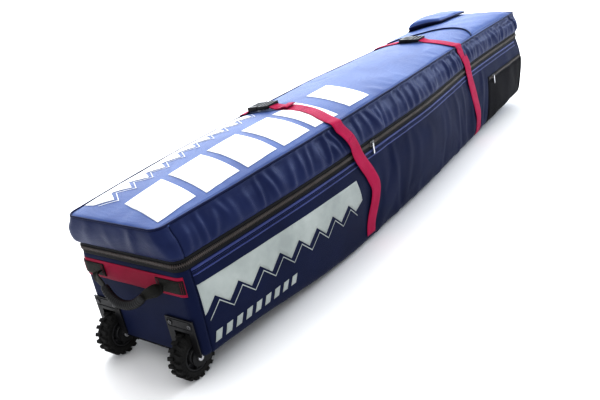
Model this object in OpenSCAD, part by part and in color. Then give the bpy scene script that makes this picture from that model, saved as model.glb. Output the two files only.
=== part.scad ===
// Wheeled snowboard bag: a padded tub with a hinged lid, closed by one long
// zip round three sides and two compression straps.  Wheel end at -X, hinge
// side at +Y, zipped side at -Y, standing on two wheels and its flat base.

/* [Body] */
// Length of the tub from the wheel end panel to the far end panel
tub_len = 1715; // [1700:5:1730]
// Height of the zip line above the floor
zip_z = 256; // [252:1:260]
// Height of the piped seam round the lid's top panel
seam_z = 338; // [332:1:344]
// Height of the base above the floor at the wheel end
base_lift = 48; // [44:1:50]
// Thickness of the padded walls
wall_t = 8; // [6:0.5:9]
// How far the middle of the sides swells past the seams
side_swell = 5; // [2:0.5:7]
// Rise of the lid's crown over its seam
crown_h = 20; // [12:1:22]
// How far the lid's far end leans out over the tub
far_lean = 38; // [20:1:45]

/* [Wheels] */
// Radius of the wheels over the tread blocks
wheel_r = 50; // [48:0.5:51]
// Width of the tyre
tyre_w = 36; // [32:1:38]
// Distance from the centre line to the middle of each wheel
half_track = 113; // [111:1:114]
// Radius of the steel axles
axle_r = 4; // [3:0.5:5]
// Radial clearance of the wheel bearings on the axles
axle_gap = 0.05; // [0.03:0.01:0.09]

/* [Webbing] */
// Width of the compression straps
strap_w = 38; // [30:1:40]
// Thickness of the webbing
web_t = 1.8; // [1.2:0.2:2]
// Distance of the first strap from the wheel end
strap_1_s = 590; // [560:5:610]
// Distance of the second strap from the wheel end
strap_2_s = 1255; // [1200:5:1260]
// Width of the grab handle's webbing
grab_w = 30; // [26:1:32]

/* [Hidden] */
$fn = 48;

// Distances along the bag are counted from the wheel end panel; this is the
// distance of the whole part's middle, which is the origin.
x_mid = 860.5;
tub_top = zip_z - 10;
lid_low = zip_z + 10;
gap = 0.4;
navy = [0.10, 0.13, 0.30];
black = [0.05, 0.05, 0.06];
crimson = [0.70, 0.10, 0.20];

// Half width of the zipped side at the zip line
function hz(s) = lookup(s, [[0, 154], [80, 161], [200, 171], [360, 182], [520, 187], [920, 187],
  [1080, 175], [1230, 161], [1380, 156], [1715, 156]]);
// Half width of the hinge side at the hinge line
function hr(s) = lookup(s, [[0, 154], [120, 163], [360, 169], [1200, 169], [1500, 162], [1715, 156]]);
// Half width of the tub just above its bottom corner
function hb(s) = lookup(s, [[0, 153], [100, 158], [300, 168], [600, 172], [900, 170], [1230, 156],
  [1380, 150], [1715, 150]]);
// Half width of the lid at its top seam
function ht(s) = lookup(s, [[-12, 133], [80, 141], [200, 150], [400, 158], [600, 161], [900, 160],
  [1230, 144], [1380, 140], [1760, 134]]);
// Height of the bottom of the base
function zb(s) = lookup(s, [[0, base_lift], [70, base_lift - 2], [180, 38], [300, 22], [420, 8],
  [540, 0], [1000, 0], [1380, 10], [1715, 30]]);
// Size of the rounded bottom corner
function rc(s) = lookup(s, [[0, 11], [100, 12], [300, 26], [600, 36], [1230, 46], [1715, 48]]);
// Height of the lid's top seam
function zt(s) = lookup(s, [[-12, seam_z - 2], [300, seam_z + 2], [900, seam_z + 2], [1230, seam_z - 4],
  [1760, seam_z - 12]]);
function crown(s) = lookup(s, [[-12, 1], [60, crown_h * 0.55], [300, crown_h], [1500, crown_h], [1700, crown_h * 0.6], [1760, 1]]);
function ztop(s, y) = zt(s) + crown(s) * (1 - pow(abs(y) / ht(s), 3));
// Outline of a tub side: [half width, height] from the base edge to the zip
function sideprof(s, H) = let (z0 = zb(s), r = rc(s), h = hb(s), m = max(h, H))
  [[h - r, z0 + 0.5], [h - r * 0.45, z0 + r * 0.12], [h - r * 0.08, z0 + r * 0.5], [h + 2, z0 + r * 1.3],
   [m + side_swell, 0.5 * (z0 + r * 1.3 + tub_top) + 14], [H + 2, tub_top - 22], [H, tub_top]];
// Outline of a lid side from the zip to the seam
function lidprof(s, H) = [[H, lid_low], [H + 1.5, lid_low + 12], [ht(s) * 0.45 + H * 0.55 + 4, lid_low + 38],
   [ht(s) + 4, zt(s) - 14], [ht(s), zt(s) - 1]];
function nrm(P, i) = let (d = P[min(i + 1, len(P) - 1)] - P[max(i - 1, 0)]) [d[1], -d[0]] / norm(d);
function yat(P, z) = lookup(z, [for (p = P) [p[1], p[0]]]);

// Closed slab between two grids of points
module slab(A, B, flip = false) {
  n = len(A); m = len(A[0]);
  function a(i, j) = i * m + j;
  function b(i, j) = n * m + i * m + j;
  f = concat(
    [for (i = [0:n - 2], j = [0:m - 2]) each [[a(i, j), a(i + 1, j), a(i + 1, j + 1)], [a(i, j), a(i + 1, j + 1), a(i, j + 1)]]],
    [for (i = [0:n - 2], j = [0:m - 2]) each [[b(i, j), b(i + 1, j + 1), b(i + 1, j)], [b(i, j), b(i, j + 1), b(i + 1, j + 1)]]],
    [for (i = [0:n - 2]) each [[a(i, 0), b(i, 0), b(i + 1, 0)], [a(i, 0), b(i + 1, 0), a(i + 1, 0)],
      [a(i, m - 1), b(i + 1, m - 1), b(i, m - 1)], [a(i, m - 1), a(i + 1, m - 1), b(i + 1, m - 1)]]],
    [for (j = [0:m - 2]) each [[a(0, j), a(0, j + 1), b(0, j + 1)], [a(0, j), b(0, j + 1), b(0, j)],
      [a(n - 1, j), b(n - 1, j + 1), a(n - 1, j + 1)], [a(n - 1, j), b(n - 1, j), b(n - 1, j + 1)]]]);
  polyhedron(points = concat([for (r = A) each r], [for (r = B) each r]),
    faces = flip ? f : [for (t = f) [t[2], t[1], t[0]]], convexity = 4);
}
module place() { translate([-x_mid, 0, 0]) children(); }

// Padded wall along one side; g is -1 on the zipped side, +1 on the hinge side
module side_wall(S, P, g, t) {
  slab([for (s = S) let (p = P(s)) [for (k = [0:len(p) - 1]) [s, g * p[k][0], p[k][1]]]],
       [for (s = S) let (p = P(s)) [for (k = [0:len(p) - 1]) let (q = p[k] - t * nrm(p, k)) [s, g * q[0], q[1]]]],
       g > 0);
}
// Strip laid on a side, from height z0 to z1, standing d0 to d1 proud
module strip(S, Z, P, g, d0, d1) {
  slab([for (s = S) let (p = P(s)) [for (z = Z) [s, g * (yat(p, z) + d1), z]]],
       [for (s = S) let (p = P(s)) [for (z = Z) [s, g * (yat(p, z) + d0), z]]], g > 0);
}
// Sheet on the lid's top, over the stations S and the widths Y
module top_sheet(S, Y, d0, d1) {
  slab([for (s = S) [for (y = Y(s)) [s, y, ztop(s, y) + d1]]], [for (s = S) [for (y = Y(s)) [s, y, ztop(s, y) + d0]]]);
}

ST = [6.5, 80, 160, 260, 360, 440, 520, 620, 720, 820, 920, 1000, 1080, 1160, 1230, 1300, 1380, 1540, 1706.5];
fside = function(s) sideprof(s, hz(s));
rside = function(s) sideprof(s, hr(s));
flid = function(s) lidprof(s, hz(s));
rlid = function(s) concat([[hr(s), s < 63 || s > 1652 ? lid_low - 0.3 : zip_z + 1]], lidprof(s, hr(s)));

// ---- tub ----
module base_plan(inset, s0, s1) {
  S = concat([s0], [for (s = ST) if (s > s0 + 5 && s < s1 - 5) s], [s1]);
  polygon(concat([for (s = S) [s, -(hb(s) - rc(s) - inset)]], [for (i = [len(S) - 1:-1:0]) [S[i], hb(S[i]) - rc(S[i]) - inset]]));
}
module well_cut(m = 0) {
  for (g = [-1, 1]) {
    translate([-10, g * half_track - 24.5 - m, -1]) cube([74.5 + m, 49 + 2 * m, 112.5 + m]);
    translate([-10, g * half_track - 31, -1]) cube([27, 62, 64]);
  }
}
module base_panel() {
  color(black) place() difference() {
    intersection() {
      linear_extrude(height = 80) base_plan(2, 6.5, 1706.5);
      rotate([90, 0, 0]) linear_extrude(height = 400, center = true)
        polygon(concat([for (s = [0, 70, 180, 300, 420, 540, 1000, 1380, 1715]) [s, zb(s)]], [for (s = [1715, 1380, 1000, 540, 420, 300, 180, 70, 0]) [s, zb(s) + 4]]));
    }
    well_cut();
  }
}
module base_board() {
  color([0.2, 0.2, 0.2]) place() intersection() {
    linear_extrude(height = 80) base_plan(16, 545, 1690);
    rotate([90, 0, 0]) linear_extrude(height = 400, center = true)
      polygon(concat([for (s = [540, 1000, 1380, 1715]) [s, zb(s) + 4 + gap]], [for (s = [1715, 1380, 1000, 540]) [s, zb(s) + 7 + gap]]));
  }
}
module tub_front_panel() { color(navy) place() side_wall(ST, fside, -1, wall_t); }
module tub_rear_panel() { color(navy) place() side_wall(ST, rside, 1, wall_t); }
module end_outline(s) {
  f = fside(s); r = rside(s);
  polygon(concat([for (p = f) [-p[0], p[1]]], [for (i = [len(r) - 1:-1:0]) r[i]]));
}
module end_plate(s, x0, t) { translate([x0, 0, 0]) rotate([90, 0, 90]) linear_extrude(height = t) end_outline(s); }
module tub_wheel_end_panel() { color(navy) place() difference() { end_plate(0, 0, 6); well_cut(); } }
module tub_far_end_panel() { color(navy) place() end_plate(1715, tub_len - 8, 8); }
module wheel_end_board() {
  color([0.2, 0.2, 0.2]) place() translate([6 + gap, -84, 60]) cube([3, 168, 178]);
}
module wheel_end_band() { color(crimson) place() translate([-1.8, -150, 190]) cube([1.5, 300, 43]); }
module grab_anchor_webbing() {
  color(black) place() for (g = [-1, 1]) translate([-3.8, g > 0 ? 80 : -149, 211.5 - grab_w / 2]) cube([web_t, 69, grab_w]);
}
// Moulded corner: face plate, two cheeks that hold the axle, roof and back wall
module wheel_housing(g) {
  color(black) place() translate([0, g * half_track, 0]) difference() {
    union() {
      translate([-3.4, g > 0 ? -39 : -37, 50]) cube([3, 76, 88]);
      for (y = [-24, 21]) {
        translate([-3.4, y, 52]) cube([67.4, 3, 59]);
        translate([4, y + 3, 50]) rotate([90, 0, 0]) cylinder(r = 19, h = 3);
        translate([4, y, 31]) cube([30, 3, 30]);
      }
      translate([-3.4, -24, 108]) cube([67.4, 48, 3]);
      translate([61, -24, 52]) cube([3, 48, 59]);
    }
    translate([-5, -21, 0]) cube([66, 42, 108]);
    translate([4, 60, 50]) rotate([90, 0, 0]) cylinder(r = axle_r, h = 120);
    translate([4, -24.1, 50]) rotate([90, 0, 0]) cylinder(r = 9, h = 30);
    translate([4, 54.1, 50]) rotate([90, 0, 0]) cylinder(r = 9, h = 30);
    for (y = [-27, 27]) translate([-10, y, 125]) rotate([0, 90, 0]) cylinder(r = 2.2, h = 20);
  }
}
module wheel_housing_left() { wheel_housing(1); }
module wheel_housing_right() { wheel_housing(-1); }
module housing_screws() {
  color([0.6, 0.6, 0.62]) place() for (g = [-1, 1], y = [-27, 27]) translate([-5.4, g * half_track + y, 125]) rotate([0, 90, 0]) {
    cylinder(r = 5, h = 1.9); cylinder(r = 2.1, h = 5);
  }
}
module axle(g) {
  color([0.7, 0.7, 0.72]) place() translate([4, g * half_track, 50]) rotate([90, 0, 0]) {
    cylinder(r = axle_r, h = 56, center = true);
    translate([0, 0, g * -26.2]) cylinder(r = 7, h = 4, center = true);
  }
}
module axle_left() { axle(1); }
module axle_right() { axle(-1); }
module axle_nuts() {
  color([0.7, 0.7, 0.72]) place() for (g = [-1, 1]) translate([4, g * (half_track - 27), 50]) rotate([90, 0, 0]) difference() {
    cylinder(r = 7.5, h = 5, center = true, $fn = 6);
    cylinder(r = axle_r, h = 9, center = true);
  }
}
module tub_piping() {
  S = concat([12], [for (s = ST) if (s > 20 && s < 1700) s], [1700]);
  color([0.35, 0.42, 0.70]) place() { strip(S, [225, 228], fside, -1, 0.4, 2.8); strip(S, [225, 228], rside, 1, 0.4, 2.8); }
}
// Path of the zip round three sides, d inside the outline
function corner(cx, cy, r, a0, a1) = [for (i = [0:6]) let (a = a0 + (a1 - a0) * i / 6) [cx + r * cos(a), cy + r * sin(a)]];
function zip_path(d) = concat([[60, hr(60) - d]], corner(24, hr(24) - 24, 24 - d, 90, 180), corner(24, -(hz(24) - 24), 24 - d, 180, 270),
  [for (s = ST) if (s > 60 && s < 1690) [s, -(hz(s) - d)]], corner(tub_len - 24, -(hz(1690) - 24), 24 - d, 270, 360),
  corner(tub_len - 24, hr(1690) - 24, 24 - d, 0, 90), [[1655, hr(1655) - d]]);
module zip_band(z0, h, d0, d1) {
  translate([0, 0, z0]) linear_extrude(height = h) polygon(concat(zip_path(d0), [let (p = zip_path(d1)) for (i = [len(p) - 1:-1:0]) p[i]]));
}
module zip_tape_lower() { color(black) place() zip_band(tub_top + gap, 4.8, 1, 2.4); }
module zip_chain_lower() { color([0.35, 0.32, 0.31]) place() zip_band(tub_top + 5.6, 4.2, 0.2, 3.6); }
module zip_chain_upper() { color([0.35, 0.32, 0.31]) place() zip_band(zip_z + 0.2, 4.2, 0.2, 3.6); }
module zip_tape_upper() { color(black) place() zip_band(zip_z + 4.8, 4.8, 1, 2.4); }
PS = [1430, 1480, 1540, 1600, 1650, 1704];
module side_pocket_panel() { color(black) place() strip(PS, [58, 70, 84, 98, 116, 140, 168, 174], fside, -1, gap + 0.5, gap + 3); }
module side_pocket_zip() { color([0.35, 0.32, 0.31]) place() strip(PS, [175, 186], fside, -1, gap, gap + 1.8); }
module strap_lower_front() {
  color(crimson) place() for (c = [strap_1_s, strap_2_s])
    strip([c - strap_w / 2, c, c + strap_w / 2], [zb(c) + 26, 60, 100, 130, 160, 190, 215, 235, tub_top - 0.5], fside, -1, 3.4, 3.4 + web_t);
}
module strap_lower_rear() {
  color(crimson) place() for (c = [strap_1_s, strap_2_s])
    strip([c - strap_w / 2, c, c + strap_w / 2], [zb(c) + 26, 60, 100, 130, 160, 190, 215, 235, tub_top - 0.5], rside, 1, 3.4, 3.4 + web_t);
}
module hinge_tape() {
  S = concat([64], [for (s = ST) if (s > 80 && s < 1640) s], [1650]);
  color(navy) place() translate([0, 0, tub_top + gap]) linear_extrude(height = 9.6)
    polygon(concat([for (s = S) [s, hr(s)]], [for (i = [len(S) - 1:-1:0]) [S[i], hr(S[i]) - 2]]));
}

// ---- wheels ----
module tyre(g) {
  color(black) place() translate([4, g * half_track, 50]) rotate([90, 0, 0]) {
    rotate_extrude($fn = 96) polygon([[31, -tyre_w / 2], [wheel_r - 8, -tyre_w / 2], [wheel_r - 5, -tyre_w / 2 + 4], [wheel_r - 5, tyre_w / 2 - 4], [wheel_r - 8, tyre_w / 2], [31, tyre_w / 2]]);
    for (i = [0:17]) rotate([0, 0, 270 + i * 20]) {
      translate([wheel_r - 9, -3.5, -tyre_w / 2 + 0.5]) cube([9, 7, 15]);
      rotate([0, 0, 10]) translate([wheel_r - 9, -3.5, tyre_w / 2 - 15.5]) cube([9, 7, 15]);
    }
  }
}
module tyre_left() { tyre(1); }
module tyre_right() { tyre(-1); }
module wheel_hub(g) {
  color([0.12, 0.12, 0.13]) place() translate([4, g * half_track, 50]) rotate([90, 0, 0])
    rotate_extrude($fn = 96) polygon([[10.05, -17], [18, -17], [20, -8], [26, -8], [26.5, -16], [30.9, -16], [30.9, 16], [26.5, 16], [26, 8], [20, 8], [18, 17], [10.05, 17]]);
}
module wheel_hub_left() { wheel_hub(1); }
module wheel_hub_right() { wheel_hub(-1); }
module bearings(g) {
  color([0.75, 0.75, 0.77]) place() translate([4, g * half_track, 50]) rotate([90, 0, 0]) for (z = [-12.5, 12.5]) translate([0, 0, z]) difference() {
    cylinder(r = 10, h = 9, center = true);
    cylinder(r = axle_r + axle_gap, h = 12, center = true);
  }
}
module bearings_left() { bearings(1); }
module bearings_right() { bearings(-1); }

// ---- wheel end grab handle, hanging ----
grab_x = -19;
// The stiff webbing holds the grip out from the panel at this angle
grab_lift = 22;
module lifted() { translate([-4.3, 0, 207.8]) rotate([0, grab_lift, 0]) translate([4.3, 0, -207.8]) children(); }
module grab_grip() {
  color([0.15, 0.15, 0.16]) place() lifted() translate([grab_x, 0, 238]) rotate([90, 0, 90]) rotate([0, 0, 222])
    rotate_extrude(angle = 96, $fn = 96) translate([80, 0]) circle(r = 9.5, $fn = 32);
}
module grab_webbing() {
  color(black) place() lifted() for (g = [-1, 1]) {
    translate([grab_x - 1, 0, 0]) rotate([90, 0, 90]) linear_extrude(height = web_t)
      polygon([[g * 68, 190], [g * 97, 186], [g * 94, 201], [g * 80, 202.5]]);
    translate([0, g * 87 - 7, 0]) rotate([90, 0, 0]) mirror([0, 0, 1]) linear_extrude(height = 14)
      polygon([[grab_x + 1.2, 198], [-5.2, 207.6], [-4.4, 205.6], [grab_x + 1.2, 195.4]]);
  }
}

// ---- lid ----
LT = [20.5, 80, 160, 260, 360, 440, 520, 620, 720, 820, 920, 1000, 1080, 1160, 1230, 1300, 1380, 1540, 1694.5];
module lid_front_gusset() { color(navy) place() side_wall(LT, flid, -1, wall_t); }
LR = concat([20.5, 62, 64], [for (s = LT) if (s > 70 && s < 1640) s], [1651, 1653, 1694.5]);
module lid_rear_gusset() { color(navy) place() side_wall(LR, rlid, 1, wall_t); }
// Gusset round one end: e is -1 at the wheel end, +1 at the far end
function end_path(e, k, d) = let (s = e < 0 ? 20 : 1695, q = flid(s)[k], r = lidprof(s, hr(s))[k], z = q[1],
    over = e < 0 ? [0, 8, 14, 14, 12][k] : [0, 10, 26, far_lean, far_lean + 2][k],
    xe = e < 0 ? -over + d : tub_len + over - d, c = 22)
  concat([[s, -(q[0] - d), z]],
    [for (i = [1:5]) let (a = i * 18) [e < 0 ? xe + c * (1 - sin(a)) : xe - c * (1 - sin(a)), -(q[0] - d - c * (1 - cos(a))), z]],
    [for (i = [5:-1:1]) let (a = i * 18) [e < 0 ? xe + c * (1 - sin(a)) : xe - c * (1 - sin(a)), r[0] - d - c * (1 - cos(a)), z]],
    [[s, r[0] - d, z]]);
module end_gusset(e) {
  color(navy) place() slab([for (k = [0:4]) end_path(e, k, 0)], [for (k = [0:4]) end_path(e, k, wall_t)], e > 0);
}
module lid_near_gusset() { end_gusset(-1); }
module lid_far_gusset() { end_gusset(1); }
TS = [-3.4, 2, 20, 80, 160, 260, 360, 440, 520, 620, 720, 820, 920, 1000, 1080, 1160, 1230, 1300, 1380, 1540, 1660, 1725, 1740, 1744.2];
module lid_top_panel() {
  color(navy) place() top_sheet(TS, function(s) let (w = ht(s) - 9 - lookup(s, [[-3.4, 19], [2, 8], [20, 0], [1725, 0], [1740, 6], [1744.2, 13]])) [for (i = [-4:4]) w * i / 4], -wall_t, 0);
}
module lid_piping() {
  color([0.35, 0.42, 0.70]) place() for (g = [-1, 1])
    slab([for (s = LT) [[s, g * (ht(s) - 4), ztop(s, ht(s) - 4) + 1.6], [s, g * (ht(s) - 1), zt(s) + 2]]],
         [for (s = LT) [[s, g * (ht(s) - 4), ztop(s, ht(s) - 4) + 0.4], [s, g * (ht(s) - 1), zt(s) + 0.4]]], g < 0);
}
LP = [1385, 1440, 1500, 1560, 1620, 1680, 1738];
module lid_pocket_panel() {
  color(navy) place() top_sheet(LP, function(s) let (w = ht(s) - 14) [for (i = [-5:5]) w * i / 5], 1.8, 5.4);
}
module pocket_flap() {
  S = [1424, 1450, 1475, 1500, 1560, 1640, 1700];
  function ys(s) = let (a = lookup(s, [[1424, 96], [1500, 32], [1700, 32]])) [for (i = [0:5]) a + (112 - a) * i / 5];
  function puff(s, y) = 14 + (5 + 18 * (y - 30) / 82) * lookup(s, [[1424, 0.7], [1475, 1], [1560, 0.95], [1640, 0.7], [1700, 0.3]]);
  color(navy) place() slab([for (s = S) [for (y = ys(s)) [s, y, ztop(s, y) + puff(s, y)]]],
    [for (s = S) [for (y = ys(s)) [s, y, ztop(s, y) + 6.4]]]);
}
module strap_rear_upper() {
  color(crimson) place() for (c = [strap_1_s, strap_2_s]) {
    S = [c - strap_w / 2, c, c + strap_w / 2];
    strip(S, [zip_z + 3, lid_low + 6, lid_low + 24, lid_low + 44, zt(c) - 16, zt(c) - 3], rlid, 1, 3, 3 + web_t);
    slab([for (s = S) [for (y = concat([sock_y(c) + 14], [for (y = [70, 90, 110, 125]) if (y > sock_y(c) + 20 && y < ht(c) - 10) y], [ht(c) - 4, ht(c) + 2])) [s, y, max(ztop(s, y), zt(s)) + 2.6 + web_t]]],
         [for (s = S) [for (y = concat([sock_y(c) + 14], [for (y = [70, 90, 110, 125]) if (y > sock_y(c) + 20 && y < ht(c) - 10) y], [ht(c) - 4, ht(c) + 2])) [s, y, max(ztop(s, y), zt(s)) + 2.6]]]);
  }
}
// Each buckle's place across the lid, its tilt on the crown, and the strap's last bend
function sock_y(c) = c < 900 ? 112 : 32;
function buckle_tilt(c) = c < 900 ? -7 : -1;
function tail_y(c) = c < 900 ? -15 : -80;
module at_buckle(c) { translate([c, sock_y(c) - 21, ztop(c, sock_y(c) - 21) + 3]) rotate([buckle_tilt(c), 0, 0]) children(); }
module buckle_sockets() {
  color(black) place() for (c = [strap_1_s, strap_2_s]) at_buckle(c) difference() {
    translate([-24, 1, 0]) cube([48, 32, 11]);
    translate([-20, 0, 2.5]) cube([40, 26, 6]);
  }
}
module far_handle_anchors() {
  color(black) place() for (g = [-1, 1]) translate([1759.5, g * 88 - 16, 309]) cube([2, 32, 12]);
}
module far_handle() {
  color(black) place() rotate([90, 0, 90]) translate([0, 0, 1762.2]) linear_extrude(height = web_t + 1)
    polygon([[-100, 320], [-100, 310], [-76, 274], [76, 274], [100, 310], [100, 320], [78, 320], [78, 312], [64, 296], [-64, 296], [-78, 312], [-78, 320]]);
}

// ---- compression straps, front halves ----
module riser(c) {
  S = [c - strap_w / 2, c, c + strap_w / 2];
  color(crimson) place() slab(
    [for (s = S) let (p = flid(s)) [for (z = [zip_z - 4, lid_low + 6, lid_low + 24, lid_low + 44, zt(c) - 12, zt(c) + 1]) [s, -(yat(p, z) + 4 + web_t), z]]],
    [for (s = S) let (p = flid(s)) [for (z = [zip_z - 4, lid_low + 6, lid_low + 24, lid_low + 44, zt(c) - 12, zt(c) + 1]) [s, -(yat(p, z) + 4), z]]]);
}
module run(c, y0, y1) {
  S = [c - strap_w / 2, c, c + strap_w / 2];
  color(crimson) place() slab(
    [for (s = S) [for (i = [0:4]) let (y = y0 + (y1 - y0) * i / 4) [s, y, max(ztop(s, y), zt(s)) + 2.4 + web_t]]],
    [for (s = S) [for (i = [0:4]) let (y = y0 + (y1 - y0) * i / 4) [s, y, max(ztop(s, y), zt(s)) + 2.4]]]);
}
module plug(c) {
  color(black) place() at_buckle(c) difference() {
    union() {
      translate([-24, -34, 0.5]) cube([48, 34 - gap, 9.5]);
      for (x = [-18, 13]) translate([x, -2, 3.4]) cube([5, 24, 4]);
    }
    translate([-20, -28, -1]) cube([40, 7, 20]);
    translate([-20, -15, -1]) cube([40, 7, 20]);
  }
}
module strap_1_riser() { riser(strap_1_s); }
module strap_2_riser() { riser(strap_2_s); }
module strap_1_run() { run(strap_1_s, -(ht(strap_1_s) + 5), tail_y(strap_1_s) - 0.5); }
module strap_2_run() { run(strap_2_s, -(ht(strap_2_s) + 5), tail_y(strap_2_s) - 0.5); }
module strap_1_end() { run(strap_1_s, tail_y(strap_1_s) + 0.5, sock_y(strap_1_s) - 57); }
module strap_2_end() { run(strap_2_s, tail_y(strap_2_s) + 0.5, sock_y(strap_2_s) - 57); }
module buckle_plug_1() { plug(strap_1_s); }
module buckle_plug_2() { plug(strap_2_s); }

// ---- zip sliders with swinging pulls ----
// y0 is the outer face of the teeth, z the middle of the teeth
module slider(s, y0, z, h) {
  color([0.3, 0.3, 0.31]) place() translate([s, -y0, z]) difference() {
    union() {
      translate([-9, -3, -h / 2]) cube([18, 2.4, h]);
      for (x = [-4.5, 3]) translate([x, -6.2, -2.5]) cube([1.5, 3.4, 5]);
      translate([-4.5, -4.9, 0]) rotate([0, 90, 0]) cylinder(r = 0.9, h = 9);
    }
  }
}
module pull(s, y0, z, len) {
  color([0.6, 0.6, 0.62]) place() translate([s, -y0 - 4.9, z]) difference() {
    union() {
      translate([-2.6, 0, 0]) rotate([0, 90, 0]) cylinder(r = 1.7, h = 5.2);
      translate([-2.6, -1.4, -len]) cube([5.2, 2, len]);
    }
    translate([-5, 0, 0]) rotate([0, 90, 0]) cylinder(r = 0.95, h = 10);
  }
}
main_s = 640;
pock_s = 1452;
pock_y = yat(fside(pock_s), 180.5) + gap + 1.8;
module main_slider() { slider(main_s, 187, zip_z, 13); }
module main_pull() { pull(main_s, 187, zip_z, 26); }
module pocket_slider() { slider(pock_s, pock_y + 1.2, 180.5, 10); }
module pocket_pull() { pull(pock_s, pock_y + 1.2, 180.5, 24); }

base_panel();
base_board();
tub_front_panel();
tub_rear_panel();
tub_wheel_end_panel();
tub_far_end_panel();
wheel_end_board();
wheel_end_band();
grab_anchor_webbing();
wheel_housing_left();
wheel_housing_right();
housing_screws();
axle_left();
axle_right();
axle_nuts();
tub_piping();
zip_tape_lower();
zip_chain_lower();
side_pocket_panel();
side_pocket_zip();
strap_lower_front();
strap_lower_rear();
hinge_tape();
tyre_left();
wheel_hub_left();
bearings_left();
tyre_right();
wheel_hub_right();
bearings_right();
grab_grip();
grab_webbing();
lid_top_panel();
lid_front_gusset();
lid_rear_gusset();
lid_near_gusset();
lid_far_gusset();
lid_piping();
zip_tape_upper();
zip_chain_upper();
lid_pocket_panel();
strap_rear_upper();
buckle_sockets();
pocket_flap();
far_handle_anchors();
far_handle();
strap_1_riser();
strap_1_run();
strap_1_end();
buckle_plug_1();
strap_2_riser();
strap_2_run();
strap_2_end();
buckle_plug_2();
main_slider();
main_pull();
pocket_slider();
pocket_pull();
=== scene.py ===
import math
import bpy
import bmesh
import numpy as np
from mathutils import Matrix, Vector
from mathutils.geometry import delaunay_2d_cdt


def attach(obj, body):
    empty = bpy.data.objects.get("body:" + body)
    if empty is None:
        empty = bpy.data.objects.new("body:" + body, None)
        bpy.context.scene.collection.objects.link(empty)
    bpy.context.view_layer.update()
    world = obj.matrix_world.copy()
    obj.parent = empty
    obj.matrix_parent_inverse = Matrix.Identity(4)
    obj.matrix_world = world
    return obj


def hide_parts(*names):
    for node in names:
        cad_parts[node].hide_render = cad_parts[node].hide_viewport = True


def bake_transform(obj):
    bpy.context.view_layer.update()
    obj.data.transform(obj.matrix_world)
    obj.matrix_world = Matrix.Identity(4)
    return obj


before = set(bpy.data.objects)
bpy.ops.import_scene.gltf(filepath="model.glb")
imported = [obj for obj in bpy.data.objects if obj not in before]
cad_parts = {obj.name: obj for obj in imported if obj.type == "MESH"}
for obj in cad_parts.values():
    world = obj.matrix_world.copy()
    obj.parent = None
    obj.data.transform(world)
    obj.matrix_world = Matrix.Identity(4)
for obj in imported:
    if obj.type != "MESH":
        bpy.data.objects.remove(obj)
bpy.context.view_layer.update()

sc = bpy.context.scene
XM = 860.5

# ------------------------------------------------------------------ camera
az, el, roll = 0.707378, 0.397144, -0.200853
d = Vector((math.cos(el) * math.cos(az), math.cos(el) * math.sin(az), -math.sin(el)))
right = d.cross(Vector((0, 0, 1))).normalized()
up = right.cross(d)
r0 = math.cos(roll) * right + math.sin(roll) * up
r1 = -math.sin(roll) * right + math.cos(roll) * up
cam = bpy.data.objects.new("camera", bpy.data.cameras.new("camera"))
sc.collection.objects.link(cam)
cam.matrix_world = Matrix(((r0.x, r1.x, -d.x, -1.571023), (r0.y, r1.y, -d.y, -1.088897),
                           (r0.z, r1.z, -d.z, 0.823707), (0, 0, 0, 1)))
cam.data.sensor_width = 36
cam.data.lens = 696.669 / 600 * 36
cam.data.shift_x = -0.0041
cam.data.shift_y = -0.0015
cam.data.clip_start, cam.data.clip_end = 0.05, 100
sc.camera = cam

# ------------------------------------------------------------------ materials
def mat(name):
    m = bpy.data.materials.new(name)
    m.use_nodes = True
    nt = m.node_tree
    return m, nt, nt.nodes["Principled BSDF"]

def setp(b, **k):
    for key, v in k.items():
        b.inputs[key.replace("_", " ")].default_value = v

def node(nt, kind, **k):
    n = nt.nodes.new(kind)
    for key, v in k.items():
        if hasattr(n, key):
            setattr(n, key, v)
        else:
            n.inputs[key.replace("_", " ")].default_value = v
    return n

def coords(nt, which="Object"):
    return nt.nodes.new("ShaderNodeTexCoord").outputs[which]

def colour_noise(nt, co, scale, c0, c1, detail=4.0, lo=0.35, hi=0.65):
    n = node(nt, "ShaderNodeTexNoise", Scale=scale, Detail=detail, Roughness=0.6)
    nt.links.new(co, n.inputs["Vector"])
    r = nt.nodes.new("ShaderNodeValToRGB")
    r.color_ramp.elements[0].position, r.color_ramp.elements[0].color = lo, (*c0, 1)
    r.color_ramp.elements[1].position, r.color_ramp.elements[1].color = hi, (*c1, 1)
    nt.links.new(n.outputs["Fac"], r.inputs["Fac"])
    return r.outputs["Color"]

def maths(nt, op, a, b=None):
    n = node(nt, "ShaderNodeMath", operation=op)
    for i, v in enumerate((a, b)):
        if v is None:
            continue
        if isinstance(v, (int, float)):
            n.inputs[i].default_value = v
        else:
            nt.links.new(v, n.inputs[i])
    return n.outputs[0]

def wave(nt, co, direction, scale, dist=0.0):
    w = node(nt, "ShaderNodeTexWave", wave_type="BANDS", bands_direction=direction, Scale=scale, Distortion=dist)
    nt.links.new(co, w.inputs["Vector"])
    return w.outputs["Fac"]

def bump(nt, b, height, strength, distance):
    n = node(nt, "ShaderNodeBump", Strength=strength, Distance=distance)
    nt.links.new(height, n.inputs["Height"])
    nt.links.new(n.outputs["Normal"], b.inputs["Normal"])

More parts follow.
